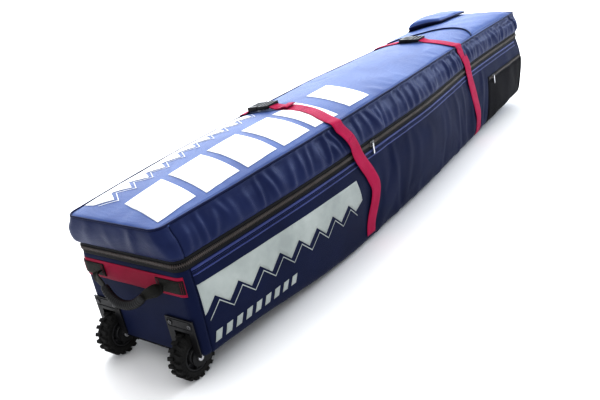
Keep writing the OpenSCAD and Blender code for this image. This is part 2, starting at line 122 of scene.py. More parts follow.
def fabric(name, c0, c1, rough=0.5, sheen=0.3, tint=(0.6, 0.7, 1.0), weave=210.0, spec=0.5, strength=0.35, noise=9.0, crease=0.0, stint=(1, 1, 1)):
    m, nt, b = mat(name)
    co = coords(nt)
    nt.links.new(colour_noise(nt, co, noise, c0, c1), b.inputs["Base Color"])
    setp(b, Roughness=rough, Sheen_Weight=sheen, Sheen_Roughness=0.45, Sheen_Tint=(*tint, 1), Specular_IOR_Level=spec, Specular_Tint=(*stint, 1))
    w = maths(nt, "ADD", maths(nt, "MULTIPLY", wave(nt, co, "X", weave), wave(nt, co, "Z", weave)),
              maths(nt, "MULTIPLY", wave(nt, co, "DIAGONAL", weave), 0.5))
    fine = node(nt, "ShaderNodeTexNoise", Scale=900.0, Detail=2.0)
    nt.links.new(co, fine.inputs["Vector"])
    h = maths(nt, "ADD", w, maths(nt, "MULTIPLY", fine.outputs["Fac"], 0.6))
    if crease:
        big = node(nt, "ShaderNodeTexNoise", Scale=38.0, Detail=5.0, Distortion=0.8)
        nt.links.new(co, big.inputs["Vector"])
        h = maths(nt, "ADD", h, maths(nt, "MULTIPLY", big.outputs["Fac"], crease))
    bump(nt, b, h, strength, 0.0004)
    return m

def webbing(name, c0, c1, rough=0.55, sheen=0.25, tint=(1, .7, .8), spec=.45):
    m, nt, b = mat(name)
    uv = coords(nt, "UV")
    mp = nt.nodes.new("ShaderNodeMapping")
    nt.links.new(uv, mp.inputs["Vector"])
    ribs = wave(nt, mp.outputs["Vector"], "X", 140.0, 0.6)
    rows = wave(nt, mp.outputs["Vector"], "Y", 110.0)
    mix = node(nt, "ShaderNodeMix", data_type="RGBA")
    nt.links.new(ribs, mix.inputs[0])
    nt.links.new(colour_noise(nt, coords(nt), 30.0, c0, c1), mix.inputs[7])
    mix.inputs[6].default_value = (*[x * 0.72 for x in c0], 1)
    nt.links.new(mix.outputs[2], b.inputs["Base Color"])
    setp(b, Roughness=rough, Sheen_Weight=sheen, Sheen_Roughness=0.4, Sheen_Tint=(*tint, 1), Specular_IOR_Level=spec)
    bump(nt, b, maths(nt, "ADD", ribs, maths(nt, "MULTIPLY", rows, 0.7)), 0.6, 0.0005)
    return m

def plastic(name, c0, c1, rough=0.42, spec=0.5, grain=600.0, strength=0.25, metal=0.0, wear=None):
    m, nt, b = mat(name)
    co = coords(nt)
    col = colour_noise(nt, co, 25.0, c0, c1)
    nt.links.new(col, b.inputs["Base Color"])
    setp(b, Metallic=metal, Specular_IOR_Level=spec)
    n = node(nt, "ShaderNodeTexNoise", Scale=14.0, Detail=4.0)
    nt.links.new(co, n.inputs["Vector"])
    mr = node(nt, "ShaderNodeMapRange")
    mr.inputs["To Min"].default_value, mr.inputs["To Max"].default_value = rough - 0.08, rough + 0.1
    nt.links.new(n.outputs["Fac"], mr.inputs["Value"])
    nt.links.new(mr.outputs["Result"], b.inputs["Roughness"])
    g = node(nt, "ShaderNodeTexNoise", Scale=grain, Detail=3.0)
    nt.links.new(co, g.inputs["Vector"])
    bump(nt, b, g.outputs["Fac"], strength, 0.0003)
    return m

# navy_nylon_painted_sunlit_top: the same navy nylon made lighter and bluer, painted sunlight and glare on the lid's
# top; navy_side_nylon below is the base navy
NAVY_SUNLIT_TOP = fabric("navy_nylon_painted_sunlit_top", (0.034, 0.074, 0.235), (0.047, 0.101, 0.29), rough=0.46, sheen=0.10, tint=(.45, .6, 1), spec=.45, crease=1.6)
NAVY = fabric("navy_side_nylon", (0.0085, 0.0125, 0.050), (0.0125, 0.019, 0.069), rough=0.40, sheen=0.06, tint=(.35, .5, 1), spec=.34, crease=1.6, stint=(.42, .55, 1))
# navy_nylon_painted_shade_tub: the same navy nylon made darker, painted shade on the tub's sides
NAVY_SHADED_TUB = fabric("navy_nylon_painted_shade_tub", (0.0040, 0.0066, 0.029), (0.0060, 0.0098, 0.040), rough=0.56, sheen=0.03, tint=(.35, .5, 1), spec=.18, crease=1.6, stint=(.42, .55, 1))
# navy_binding_painted_seam_shade: a darker navy, painted shade at the seams (the lid piping's dark line, the tub's seam
# shadow strip, the pocket seam); also used for the hinge fabric and the flap binding
NAVY_BINDING_SHADE = fabric("navy_binding_painted_seam_shade", (0.005, 0.008, 0.034), (0.008, 0.012, 0.048), rough=0.5, sheen=0.05, spec=.25, weave=260.0, stint=(.45, .55, 1))
BLUE_P = fabric("blue_piping", (0.022, 0.034, 0.14), (0.034, 0.050, 0.19), rough=0.45, sheen=0.1, spec=.4, weave=260.0)
LINING = fabric("grey_lining", (0.035, 0.036, 0.042), (0.055, 0.056, 0.064), rough=0.7, sheen=0.2, tint=(1, 1, 1), weave=150.0)
BLACK_F = fabric("black_cordura", (0.003, 0.003, 0.005), (0.005, 0.005, 0.009), rough=0.62, sheen=0.0, spec=.08, tint=(.7, .8, 1), weave=170.0, strength=0.6)
CRIM_F = fabric("crimson_fabric", (0.22, 0.003, 0.030), (0.29, 0.005, 0.044), rough=0.5, sheen=0.03, spec=.15, tint=(1, .6, .7), weave=180.0)
WHITE = fabric("white_print", (0.78, 0.79, 0.80), (0.88, 0.88, 0.88), rough=0.45, sheen=0.1, tint=(1, 1, 1), weave=210.0, strength=0.2)
SILVER = fabric("silver_print", (0.27, 0.30, 0.29), (0.37, 0.40, 0.385), rough=0.38, sheen=0.07, tint=(1, 1, 1), weave=210.0, strength=0.25, spec=.5)
CRIM_W = webbing("crimson_webbing", (0.39, 0.005, 0.070), (0.49, 0.009, 0.094), sheen=.04, spec=.16)
BLACK_W = webbing("olive_black_webbing", (0.006, 0.006, 0.005), (0.014, 0.013, 0.009), tint=(.9, .9, .8), sheen=.04, spec=.2)
TAPE = fabric("zip_tape", (0.004, 0.004, 0.005), (0.008, 0.008, 0.009), rough=0.6, sheen=0.03, spec=.2, weave=320.0)
TEETH = plastic("zip_coil", (0.060, 0.050, 0.046), (0.090, 0.074, 0.068), rough=0.4, spec=.5)
BOARD = plastic("black_board", (0.012, 0.012, 0.013), (0.02, 0.02, 0.022), rough=0.6)
HOUSE = plastic("black_moulded_plastic", (0.006, 0.006, 0.007), (0.011, 0.011, 0.013), rough=0.4, spec=.3, grain=900.0, strength=0.5)
RUBBER = plastic("black_rubber", (0.007, 0.007, 0.007), (0.014, 0.0135, 0.013), rough=0.68, spec=.22, grain=350.0, strength=0.5)
HUBM = plastic("dark_grey_hub_plastic", (0.012, 0.012, 0.013), (0.022, 0.022, 0.024), rough=0.36, spec=.35)
STEEL = plastic("steel", (0.52, 0.52, 0.53), (0.66, 0.66, 0.67), rough=0.3, metal=1.0, grain=200.0, strength=0.1)
GRIPM = plastic("black_grip_rubber", (0.008, 0.008, 0.009), (0.018, 0.018, 0.019), rough=0.5, spec=.35, grain=500.0, strength=0.4)
BUCK = plastic("black_acetal", (0.005, 0.005, 0.006), (0.010, 0.010, 0.012), rough=0.36, spec=.3)
GUN = plastic("dark_slider_metal", (0.10, 0.10, 0.105), (0.17, 0.17, 0.175), rough=0.34, metal=1.0, strength=0.1)
PULLM = plastic("bright_pull_metal", (0.55, 0.55, 0.56), (0.7, 0.7, 0.71), rough=0.3, metal=1.0, strength=0.1)

# ------------------------------------------------------------------ shape of the bag (millimetres, s from the wheel end)
def lk(pts, w=0.0):
    xs = [p[0] for p in pts]
    ys = [p[1] for p in pts]
    if not w:
        return lambda s: np.interp(s, xs, ys)
    off = np.linspace(-w, w, 9)
    return lambda s: np.mean([np.interp(np.asarray(s, float) + o, xs, ys) for o in off], axis=0)

hz = lk([[0, 154], [80, 161], [200, 171], [360, 182], [520, 187], [920, 187], [1080, 175], [1230, 161], [1380, 156], [1715, 156]], 45)
hr = lk([[0, 154], [120, 163], [360, 169], [1200, 169], [1500, 162], [1715, 156]], 45)
hb = lk([[0, 153], [100, 158], [300, 168], [600, 172], [900, 170], [1230, 156], [1380, 150], [1715, 150]], 45)
ht = lk([[-12, 133], [80, 141], [200, 150], [400, 158], [600, 161], [900, 160], [1230, 144], [1380, 140], [1760, 134]], 45)
zb = lk([[0, 48], [70, 46], [180, 38], [300, 22], [420, 8], [540, 0], [1000, 0], [1380, 10], [1715, 30]], 20)
rc = lk([[0, 11], [100, 12], [300, 26], [600, 36], [1230, 46], [1715, 48]])
zt = lk([[-12, 336], [300, 340], [900, 340], [1230, 334], [1760, 326]], 45)
crown = lk([[-12, 1], [60, 11], [300, 20], [1500, 20], [1700, 12], [1760, 1]], 25)
ZT0, ZT1 = 246.0, 266.0

def wtop(s):
    s = np.asarray(s, float)
    w = ht(s)
    a = np.clip((10 - s) / 22.0, 0, 1)
    b = np.clip((s - 1733) / 22.0, 0, 1)
    return w - 22 * (1 - np.sqrt(1 - a * a)) - 22 * (1 - np.sqrt(1 - b * b))

def ztop(s, y):
    return zt(s) + crown(s) * (1 - np.clip(np.abs(y) / wtop(s), 0, 1) ** 3)

def curve(P, t):
    P = np.asarray(P, float)
    t = np.asarray(t, float)
    c = np.concatenate([[0], np.cumsum(np.linalg.norm(np.diff(P, axis=0), axis=1))])
    c = c / c[-1]
    m = np.zeros_like(P)
    m[1:-1] = (P[2:] - P[:-2]) / (c[2:] - c[:-2])[:, None]
    m[0] = (P[1] - P[0]) / (c[1] - c[0])
    m[-1] = (P[-1] - P[-2]) / (c[-1] - c[-2])
    i = np.clip(np.searchsorted(c, t, side="right") - 1, 0, len(c) - 2)
    h = c[i + 1] - c[i]
    u = ((t - c[i]) / h)[:, None]
    h = h[:, None]
    return ((2 * u**3 - 3 * u**2 + 1) * P[i] + (u**3 - 2 * u**2 + u) * h * m[i]
            + (-2 * u**3 + 3 * u**2) * P[i + 1] + (u**3 - u**2) * h * m[i + 1])

def resample(P, n):
    P = np.asarray(P, float)
    c = np.concatenate([[0], np.cumsum(np.linalg.norm(np.diff(P, axis=0), axis=1))])
    t = np.linspace(0, c[-1], n)
    return np.stack([np.interp(t, c, P[:, k]) for k in range(P.shape[1])], 1)

def sideprof(s, H):
    z0, r, h = float(zb(s)), float(rc(s)), float(hb(s))
    m = max(h, H)
    return np.array([[h - r, z0 + .5], [h - r * .45, z0 + r * .12], [h - r * .08, z0 + r * .5], [h + 2, z0 + r * 1.3],
                     [m + 5, .5 * (z0 + r * 1.3 + 246) + 14], [H + 2, 224], [H, 246]])

def lidprof(s, H):
    t, z = float(ht(s)), float(zt(s))
    return np.array([[H, 266], [H + 1.5, 278], [t * .45 + H * .55 + 4, 304], [t + 4, z - 14], [t, z - 1]])

def to_m(P):
    Q = np.array(P, float).reshape(-1, 3) / 1000.0
    Q[:, 0] -= XM / 1000.0
    return Q

# ------------------------------------------------------------------ mesh makers
def new_obj(name, verts, faces, mats, fmat=None, smooth=True, uv=None, recalc=True):
    me = bpy.data.meshes.new(name)
    me.from_pydata([tuple(v) for v in verts], [], [tuple(int(i) for i in f) for f in faces])
    for m in mats:
        me.materials.append(m)
    if fmat is not None:
        me.polygons.foreach_set("material_index", np.array(fmat, np.int32))
    if uv is not None:
        lay = me.uv_layers.new(name="UVMap")
        li = np.zeros(len(me.loops), np.int32)
        me.loops.foreach_get("vertex_index", li)
        lay.data.foreach_set("uv", np.asarray(uv, np.float32)[li].ravel())
    me.polygons.foreach_set("use_smooth", np.full(len(me.polygons), smooth))
    me.validate(clean_customdata=False)
    if recalc:
        bm = bmesh.new()
        bm.from_mesh(me)
        bmesh.ops.recalc_face_normals(bm, faces=bm.faces)
        bm.to_mesh(me)
        bm.free()
    me.update()
    o = bpy.data.objects.new(name, me)
    sc.collection.objects.link(o)
    return o

def grid_normals(P, sign=1):
    du = np.gradient(P, axis=0)
    dv = np.gradient(P, axis=1)
    n = np.cross(du, dv) * sign
    return n / np.maximum(np.linalg.norm(n, axis=2, keepdims=True), 1e-9)

def slab_obj(name, A, B, mats, mask=None, closed=False):
    n, m = A.shape[:2]
    idx = np.arange(n * m).reshape(n, m)
    if mask is None:
        mask = np.ones((n - 1, m - 1), bool)
    cells = [(i, j) for i in range(n - 1) for j in range(m - 1) if mask[i, j]]
    outer = [(idx[i, j], idx[i + 1, j], idx[i + 1, j + 1], idx[i, j + 1]) for i, j in cells]
    N = n * m
    faces, fm = [], []
    count = {}
    for f in outer:
        for a, b in zip(f, f[1:] + f[:1]):
            count[(a, b)] = count.get((a, b), 0) + 1
    for f in outer:
        faces.append(f); fm.append(0)
        faces.append(tuple(x + N for x in reversed(f))); fm.append(min(1, len(mats) - 1))
    for (a, b) in list(count):
        if (b, a) not in count:
            faces.append((b, a, a + N, b + N)); fm.append(0)
    V = to_m(np.concatenate([A.reshape(-1, 3), B.reshape(-1, 3)]))
    used = np.zeros(2 * N, bool)
    for f in faces:
        for x in f:
            used[x] = True
    remap = np.cumsum(used) - 1
    faces = [tuple(remap[x] for x in f) for f in faces]
    return new_obj(name, V[used], faces, mats, fm)

def zoom_grid(P, n2, m2):
    n, m = P.shape[:2]
    def interp1(A, k2):
        k = A.shape[0]
        t = np.linspace(0, k - 1, k2)
        i = np.clip(t.astype(int), 0, k - 2)
        u = (t - i)[:, None, None]
        g = lambda q: A[np.clip(q, 0, k - 1)]
        p0, p1, p2, p3 = g(i - 1), g(i), g(i + 1), g(i + 2)
        return .5 * ((2 * p1) + (-p0 + p2) * u + (2 * p0 - 5 * p1 + 4 * p2 - p3) * u**2 + (-p0 + 3 * p1 - 3 * p2 + p3) * u**3)
    Q = interp1(P, n2)
    return np.swapaxes(interp1(np.swapaxes(Q, 0, 1), m2), 0, 1)

def frames_along(C, up_hint):
    T = np.gradient(C, axis=0)
    T /= np.maximum(np.linalg.norm(T, axis=1, keepdims=True), 1e-9)
    return T

def ribbon(name, C, N, width, thick, material, body=None, lift=0.0, widths=None):
    """Flat webbing along the centre line C with surface normals N."""
    C = np.asarray(C, float); N = np.asarray(N, float)
    N = N / np.linalg.norm(N, axis=1, keepdims=True)
    T = frames_along(C, None)
    W = np.cross(N, T); W /= np.linalg.norm(W, axis=1, keepdims=True)
    Nn = np.cross(T, W)
    prof = [(-1, 0), (-.93, .5), (-.5, .54), (0, .55), (.5, .54), (.93, .5), (1, 0), (.93, -.5), (0, -.5), (-.93, -.5)]
    k = len(prof)
    n = len(C)
    L = np.concatenate([[0], np.cumsum(np.linalg.norm(np.diff(C, axis=0), axis=1))]) / 1000
    V, UV = [], []
    for i in range(n):
        w = (width if widths is None else widths[i]) / 2
        for a, b in prof:
            V.append(C[i] + W[i] * a * w + Nn[i] * (b * thick + thick / 2 + lift))
            UV.append((L[i], (a + (2.2 if b < 0 else 0)) * w / 1000))
    F = [(i * k + j, i * k + (j + 1) % k, (i + 1) * k + (j + 1) % k, (i + 1) * k + j) for i in range(n - 1) for j in range(k)]
    F += [tuple(range(k)), tuple((n - 1) * k + j for j in reversed(range(k)))]
    o = new_obj(name, to_m(V), F, [material], uv=UV)
    if body:
        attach(o, body)
    return o

def tube(name, C, r, material, seg=10, closed=False, body=None, rad=None, flat=1.0):
    C = np.asarray(C, float)
    n = len(C)
    T = np.roll(C, -1, 0) - np.roll(C, 1, 0) if closed else np.gradient(C, axis=0)
    T /= np.maximum(np.linalg.norm(T, axis=1, keepdims=True), 1e-9)
    ref = np.array([0, 0, 1.0]) if abs(T[0][2]) < .9 else np.array([1.0, 0, 0])
    U = np.cross(T[0], ref); U /= np.linalg.norm(U)
    V = []
    for i in range(n):
        U = U - T[i] * (U @ T[i]); U /= np.linalg.norm(U)
        Wv = np.cross(T[i], U)
        rr = r if rad is None else rad[i]
        for j in range(seg):
            a = 2 * math.pi * j / seg
            V.append(C[i] + U * math.cos(a) * rr + Wv * math.sin(a) * rr * flat)
    rows = n if closed else n - 1
    F = [(i * seg + j, i * seg + (j + 1) % seg, ((i + 1) % n) * seg + (j + 1) % seg, ((i + 1) % n) * seg + j) for i in range(rows) for j in range(seg)]
    if not closed:
        F += [tuple(reversed(range(seg))), tuple((n - 1) * seg + j for j in range(seg))]
    o = new_obj(name, to_m(V), F, [material])
    if body:
        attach(o, body)
    return o

def boxes(name, items, material, body=None, smooth=False):
    """Small chamfered blocks: each item is (centre, axis a, axis b, axis c) with half sizes in the axes."""
    V, F = [], []
    base = [(-1, -1, -.7), (1, -1, -.7), (1, 1, -.7), (-1, 1, -.7), (-.8, -.8, 1), (.8, -.8, 1), (.8, .8, 1), (-.8, .8, 1), (-1, -1, .5), (1, -1, .5), (1, 1, .5), (-1, 1, .5)]
    fs = [(3, 2, 1, 0), (0, 1, 9, 8), (1, 2, 10, 9), (2, 3, 11, 10), (3, 0, 8, 11), (8, 9, 5, 4), (9, 10, 6, 5), (10, 11, 7, 6), (11, 8, 4, 7), (4, 5, 6, 7)]
    for c, a, b, n in items:
        k = len(V)
        for x, y, z in base:
            V.append(c + a * x + b * y + n * z)
        F += [tuple(k + i for i in f) for f in fs]
    o = new_obj(name, to_m(V), F, [material], smooth=smooth)
    if body:
        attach(o, body)
    return o

def lathe(name, prof, n, centre, material, body=None, mod=None):
    """Closed ring section prof [(radius, along axis Y)] turned about Y through centre."""
    V, F = [], []
    k = len(prof)
    for i in range(n):
        a = 2 * math.pi * i / n
        for j, (r, h) in enumerate(prof):
            rr = r if mod is None else mod(r, h, a)
            V.append((centre[0] + rr * math.cos(a), centre[1] + h, centre[2] + rr * math.sin(a)))
    for i in range(n):
        for j in range(k):
            F.append((i * k + j, ((i + 1) % n) * k + j, ((i + 1) % n) * k + (j + 1) % k, i * k + (j + 1) % k))
    o = new_obj(name, to_m(V), F, [material])
    if body:
        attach(o, body)
    return o

def bevel_copy(nodename, name, material, body, width=0.0006, segs=2, angle=30):
    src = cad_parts[nodename]
    me = src.data.copy()
    bm = bmesh.new(); bm.from_mesh(me)
    bmesh.ops.remove_doubles(bm, verts=bm.verts, dist=1e-6)
    bmesh.ops.dissolve_limit(bm, angle_limit=math.radians(2), verts=bm.verts, edges=bm.edges)
    sharp = [e for e in bm.edges if len(e.link_faces) == 2 and e.calc_face_angle(0) > math.radians(angle)]
    if sharp and width:
        bmesh.ops.bevel(bm, geom=sharp, offset=width, segments=segs, profile=.6, affect="EDGES", clamp_overlap=True)
    bmesh.ops.triangulate(bm, faces=[f for f in bm.faces if len(f.verts) > 4])
    bm.to_mesh(me); bm.free()
    me.materials.clear(); me.materials.append(material)
    me.polygons.foreach_set("material_index", np.zeros(len(me.polygons), np.int32))
    me.polygons.foreach_set("use_smooth", np.ones(len(me.polygons), bool))
    me.set_sharp_from_angle(angle=math.radians(38))
    o = bpy.data.objects.new(name, me)
    sc.collection.objects.link(o)
    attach(o, body)
    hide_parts(nodename)
    return o

# ------------------------------------------------------------------ wrinkle fields
def folds(S, V, rng, spacing, amp, width, slope=18.0, lo=0.0, hi=1e9, mode="mix"):
    """Sum of narrow gathers across a strip. S is the distance along, V is 0..1 across."""
    D = np.zeros_like(S)
    s = lo + rng.uniform(0, spacing)
    while s < hi:
        a = amp * rng.uniform(.45, 1.0)
        w = width * rng.uniform(.7, 1.4)
        sl = rng.uniform(-slope, slope)
        bend = rng.uniform(-slope, slope) * .6
        c = s + sl * (V - .5) + bend * (V - .5) ** 2
        kind = rng.integers(0, 3)
        env = np.sin(np.pi * np.clip(V, 0, 1)) ** .6
        if kind == 1:
            env = env * (1 - .75 * V)
        elif kind == 2:
            env = env * (.25 + .75 * V)
        g = (S - c) / w
        D += a * env * (np.exp(-g * g) - .45 * np.exp(-((g - 1.7) ** 2) / 1.4))
        s += spacing * rng.uniform(.55, 1.45)
    return D

def lumps(S, Y, rng, n, amp, size, stretch=1.0):
    D = np.zeros_like(S)
    for _ in range(n):
        cs, cy = rng.uniform(S.min(), S.max()), rng.uniform(Y.min(), Y.max())
        th = rng.uniform(-.5, .5)
        w = size * rng.uniform(.6, 1.5)
        u = (S - cs) * math.cos(th) + (Y - cy) * math.sin(th)
        v = -(S - cs) * math.sin(th) + (Y - cy) * math.cos(th)
        D += amp * rng.uniform(-1, 1) * np.exp(-(u / (w * stretch)) ** 2 - (v / w) ** 2)
    return D

# ------------------------------------------------------------------ soft panels
panels = {}
def add_panel(name, P0, sign, disp, **k):
    N = grid_normals(P0, sign)
    edge = np.ones(P0.shape[:2])
    pin = k.get("pin")
    fall = np.ones(P0.shape[:2])
    for ax, ln in ((0, P0.shape[0]), (1, P0.shape[1])):
        i = np.arange(ln)
        f = np.clip(np.minimum(i, ln - 1 - i) / 2.0, 0, 1)
        fall *= f[:, None] if ax == 0 else f[None, :]
    P1 = P0 + N * (disp * fall)[..., None]
    panels[name] = dict(P0=P0, N=N, P1=P1, fall=fall, **k)

def run_cloth(frames=26):
    """One simulation of every panel: each is cut a little longer than its place, and sewn at its edges."""
    todo = []
    for name, p in panels.items():
        P1 = p["P1"]
        n, m = P1.shape[:2]
        idx = np.arange(n * m).reshape(n, m)
        F = np.stack([idx[:-1, :-1], idx[1:, :-1], idx[1:, 1:], idx[:-1, 1:]], -1).reshape(-1, 4)
        if p.get("flip"):
            F = F[:, ::-1]
        V = to_m(P1)
        o = new_obj("cloth_" + name, V, F, [], recalc=False)
        o.shape_key_add(name="Basis")
        kb = o.shape_key_add(name="rest")
        R = V * np.array(p.get("stretch", (1.02, 1, 1)))
        kb.data.foreach_set("co", R.astype(np.float32).ravel())
        kb.value = 0
        vg = o.vertex_groups.new(name="pin")
        pin = np.zeros((n, m))
        pin[0] = pin[-1] = 1; pin[:, 0] = pin[:, -1] = 1
        for c in p.get("pin_s", ()):
            rows = np.where(np.abs(p["P0"][:, m // 2, 0] - c) < 21)[0]
            pin[rows] = 1
        for i in np.where(pin.ravel() > 0)[0]:
            vg.add([int(i)], 1.0, "REPLACE")
        md = o.modifiers.new("Cloth", "CLOTH")
        cs = md.settings
        cs.quality = 6
        cs.mass = 0.2
        cs.tension_stiffness = cs.compression_stiffness = 25
        cs.shear_stiffness = 8
        cs.bending_stiffness = p.get("bend", 0.6)
        cs.tension_damping = cs.compression_damping = cs.shear_damping = 12
        cs.air_damping = 4
        cs.vertex_group_mass = "pin"
        cs.pin_stiffness = 1
        cs.rest_shape_key = kb
        cs.use_pressure = True
        cs.uniform_pressure_force = p.get("pressure", 1.0)
        cs.effector_weights.gravity = 0
        md.collision_settings.use_collision = False
        md.collision_settings.use_self_collision = False
        md.point_cache.frame_start, md.point_cache.frame_end = 1, frames + 2
        todo.append((name, o))
    for f in range(1, frames + 1):
        sc.frame_set(f)
    dg = bpy.context.evaluated_depsgraph_get()
    for name, o in todo:
        p = panels[name]
        me = o.evaluated_get(dg).to_mesh()
        co = np.zeros(len(me.vertices) * 3)
        me.vertices.foreach_get("co", co)
        Q = co.reshape(-1, 3) * 1000
        Q[:, 0] += XM
        p["sim"] = Q.reshape(p["P0"].shape)
        bpy.data.objects.remove(o, do_unlink=True)
    sc.frame_set(1)

def finish_panel(name, mats, thick, body, replaces=(), cap=(9, 5), up=(1, 1), mask=None):
    p = panels[name]
    P = p.get("sim", p["P1"])
    D = P - p["P0"]
    dn = (D * p["N"]).sum(-1)
    tang = D - dn[..., None] * p["N"]
    tl = np.linalg.norm(tang, axis=2, keepdims=True)
    tang = tang * np.minimum(1, 6 / np.maximum(tl, 1e-6))
    o_, i_ = cap
    dn = np.where(dn > 0, o_ * np.tanh(dn / o_), -i_ * np.tanh(-dn / i_))
    A = p["P0"] + p["N"] * dn[..., None] + tang
    n2, m2 = int((A.shape[0] - 1) * up[0]) + 1, int((A.shape[1] - 1) * up[1]) + 1
    A2 = zoom_grid(A, n2, m2)
    B0 = zoom_grid(p["P0"] - p["N"] * thick, n2, m2)
    N2 = zoom_grid(p["N"], n2, m2)
    N2 /= np.linalg.norm(N2, axis=2, keepdims=True)
    curl = np.zeros((n2, m2))
    for ax, ln in ((0, n2), (1, m2)):
        i = np.arange(ln)
        dist = np.minimum(i, ln - 1 - i)
        c = np.where(dist == 0, 2.6, np.where(dist == 1, .5, 0))
        curl = np.maximum(curl, c[:, None] if ax == 0 else c[None, :])
    A2 = A2 - N2 * curl[..., None]
    p["A"], p["NA"] = A2, N2
    o = slab_obj(name, A2, B0, mats, mask)
    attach(o, body)
    if replaces:
        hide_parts(*replaces)
    return o

def sample(name, i, j):
    """Point and normal of a finished panel at fractional grid places."""
    A, N = panels[name]["A"], panels[name]["NA"]
    n, m = A.shape[:2]
    i = min(max(i, 0), n - 1.0001); j = min(max(j, 0), m - 1.0001)
    a, b = int(i), int(j); u, v = i - a, j - b
    w = ((1 - u) * (1 - v), u * (1 - v), (1 - u) * v, u * v)
    q = [(a, b), (a + 1, b), (a, b + 1), (a + 1, b + 1)]
    P = sum(A[x] * k for x, k in zip(q, w)); Nn = sum(N[x] * k for x, k in zip(q, w))
    return P, Nn / np.linalg.norm(Nn)

def at(name, s, val, comp):
    """Point on a panel at distance s and at height z (comp 2) or width y (comp 1)."""
    A = panels[name]["A"]
    n, m = A.shape[:2]
    col = A[:, m // 2, 0]
    i = float(np.interp(s, col, np.arange(n)))
    a = min(int(i), n - 2); u = i - a
    row = A[a, :, comp] * (1 - u) + A[a + 1, :, comp] * u
    order = np.argsort(row)
    j = float(np.interp(val, row[order], np.arange(m)[order]))
    return sample(name, i, j)

# grids
def far_bulge(s, z):
    k = np.clip((s - 1560) / 150.0, 0, 1)
    return 24 * k * k * (3 - 2 * k) * np.clip(np.sin(np.pi * np.clip((z - 30) / 208.0, 0, 1)), 0, 1) ** .8

def side_grid(H, g, n, m, s0=24.0, s1=1691.0, cinch=True):
    S = np.linspace(s0, s1, n); v = np.linspace(0, 1, m)
    P = np.zeros((n, m, 3))
    for i, s in enumerate(S):
        q = curve(sideprof(s, float(H(s))), v)
        c = sum(4.0 * math.exp(-((s - x) / 26.0) ** 2) for x in (590, 1255)) if cinch else 0
        P[i, :, 0] = s
        P[i, :, 1] = g * (q[:, 0] - c * np.sin(np.pi * np.clip(v * 1.15 - .1, 0, 1)))
        P[i, :, 2] = q[:, 1]
    P[:, :, 0] += far_bulge(P[:, :, 0], P[:, :, 2])
    return P

def lid_grid(H, g, n, m, s0=20.0, s1=1695.0, low=None):
    S = np.linspace(s0, s1, n); v = np.linspace(0, 1, m)
    P = np.zeros((n, m, 3))
    for i, s in enumerate(S):
        prof = lidprof(s, float(H(s)))
        q = curve(prof, v)
        c = sum(3.5 * math.exp(-((s - x) / 24.0) ** 2) for x in (590, 1255))
        P[i, :, 0] = s
        P[i, :, 1] = g * (q[:, 0] - c * np.sin(np.pi * v))
        P[i, :, 2] = q[:, 1]
    return P

def end_path(s, k, e, d=0.0, n=61, tub=False):
    q, r = lidprof(s, float(hz(s)))[k], lidprof(s, float(hr(s)))[k]
    over = ([0, 8, 14, 14, 12] if e < 0 else [0, 10, 26, 38, 40])[k]
    xe = -over + d if e < 0 else 1715 + over - d
    c = 22
    pts = [[s, -(q[0] - d), q[1]]]
    for a in np.linspace(6, 90, 15):
        a = math.radians(a)
        pts.append([xe + c * (1 - math.sin(a)) * (1 if e < 0 else -1), -(q[0] - d - c * (1 - math.cos(a))), q[1]])
    for a in np.linspace(90, 6, 15):
        a = math.radians(a)
        pts.append([xe + c * (1 - math.sin(a)) * (1 if e < 0 else -1), r[0] - d - c * (1 - math.cos(a)), q[1]])
    pts.append([s, r[0] - d, q[1]])
    return resample(pts, n)

def end_gusset_grid(e, n, m):
    s = 20 if e < 0 else 1695
    K = np.stack([end_path(s, k, e, n=n) for k in range(5)], 1)
    v = np.linspace(0, 1, m)
    return np.stack([curve(K[i], v) for i in range(n)], 0)

def tub_end_grid(e, n, m):
    """End panel with both rounded upright corners."""
    s = 0 if e < 0 else 1715
    zlo = float(zb(s)) + .5
    v = np.linspace(0, 1, m)
    pf, pr = sideprof(24 if e < 0 else 1691, float(hz(24 if e < 0 else 1691))), sideprof(24 if e < 0 else 1691, float(hr(24 if e < 0 else 1691)))
    qf, qr = curve(pf, np.linspace(0, 1, 200)), curve(pr, np.linspace(0, 1, 200))
    P = np.zeros((n, m, 3))
    for j, t in enumerate(v):
        z = zlo + (246 - zlo) * t
        a, b = float(np.interp(z, qf[:, 1], qf[:, 0])), float(np.interp(z, qr[:, 1], qr[:, 0]))
        c = 24
        pts = [[24 if e < 0 else 1691, -a, z]]
        for w in np.linspace(5, 90, 15):
            w = math.radians(w)
            x = c * (1 - math.sin(w))
            pts.append([x if e < 0 else 1715 - x, -(a - c * (1 - math.cos(w))), z])
        for w in np.linspace(90, 5, 15):
            w = math.radians(w)
            x = c * (1 - math.sin(w))
            pts.append([x if e < 0 else 1715 - x, b - c * (1 - math.cos(w)), z])
        pts.append([24 if e < 0 else 1691, b, z])
        P[:, j] = resample(pts, n)
        if e > 0:
            y = P[:, j, 1] / 150.0
            P[:, j, 0] += 5 * np.clip(1 - y * y, 0, 1) * math.sin(math.pi * t) + far_bulge(P[:, j, 0], P[:, j, 2])
    return P

def top_grid(n, m, s0=-12.0, s1=1755.0):
    S = np.linspace(s0, s1, n)
    P = np.zeros((n, m, 3))
    for i, s in enumerate(S):
        u = np.linspace(-1, 1, m)
        w = float(wtop(s))
        P[i, :, 0] = s
        P[i, :, 1] = u * w
        P[i, :, 2] = ztop(s, u * w)
        c = sum(3.0 * math.exp(-((s - x) / 26.0) ** 2) for x in (590, 1255))
        P[i, :, 2] -= c * (1 - u ** 2)
    return P

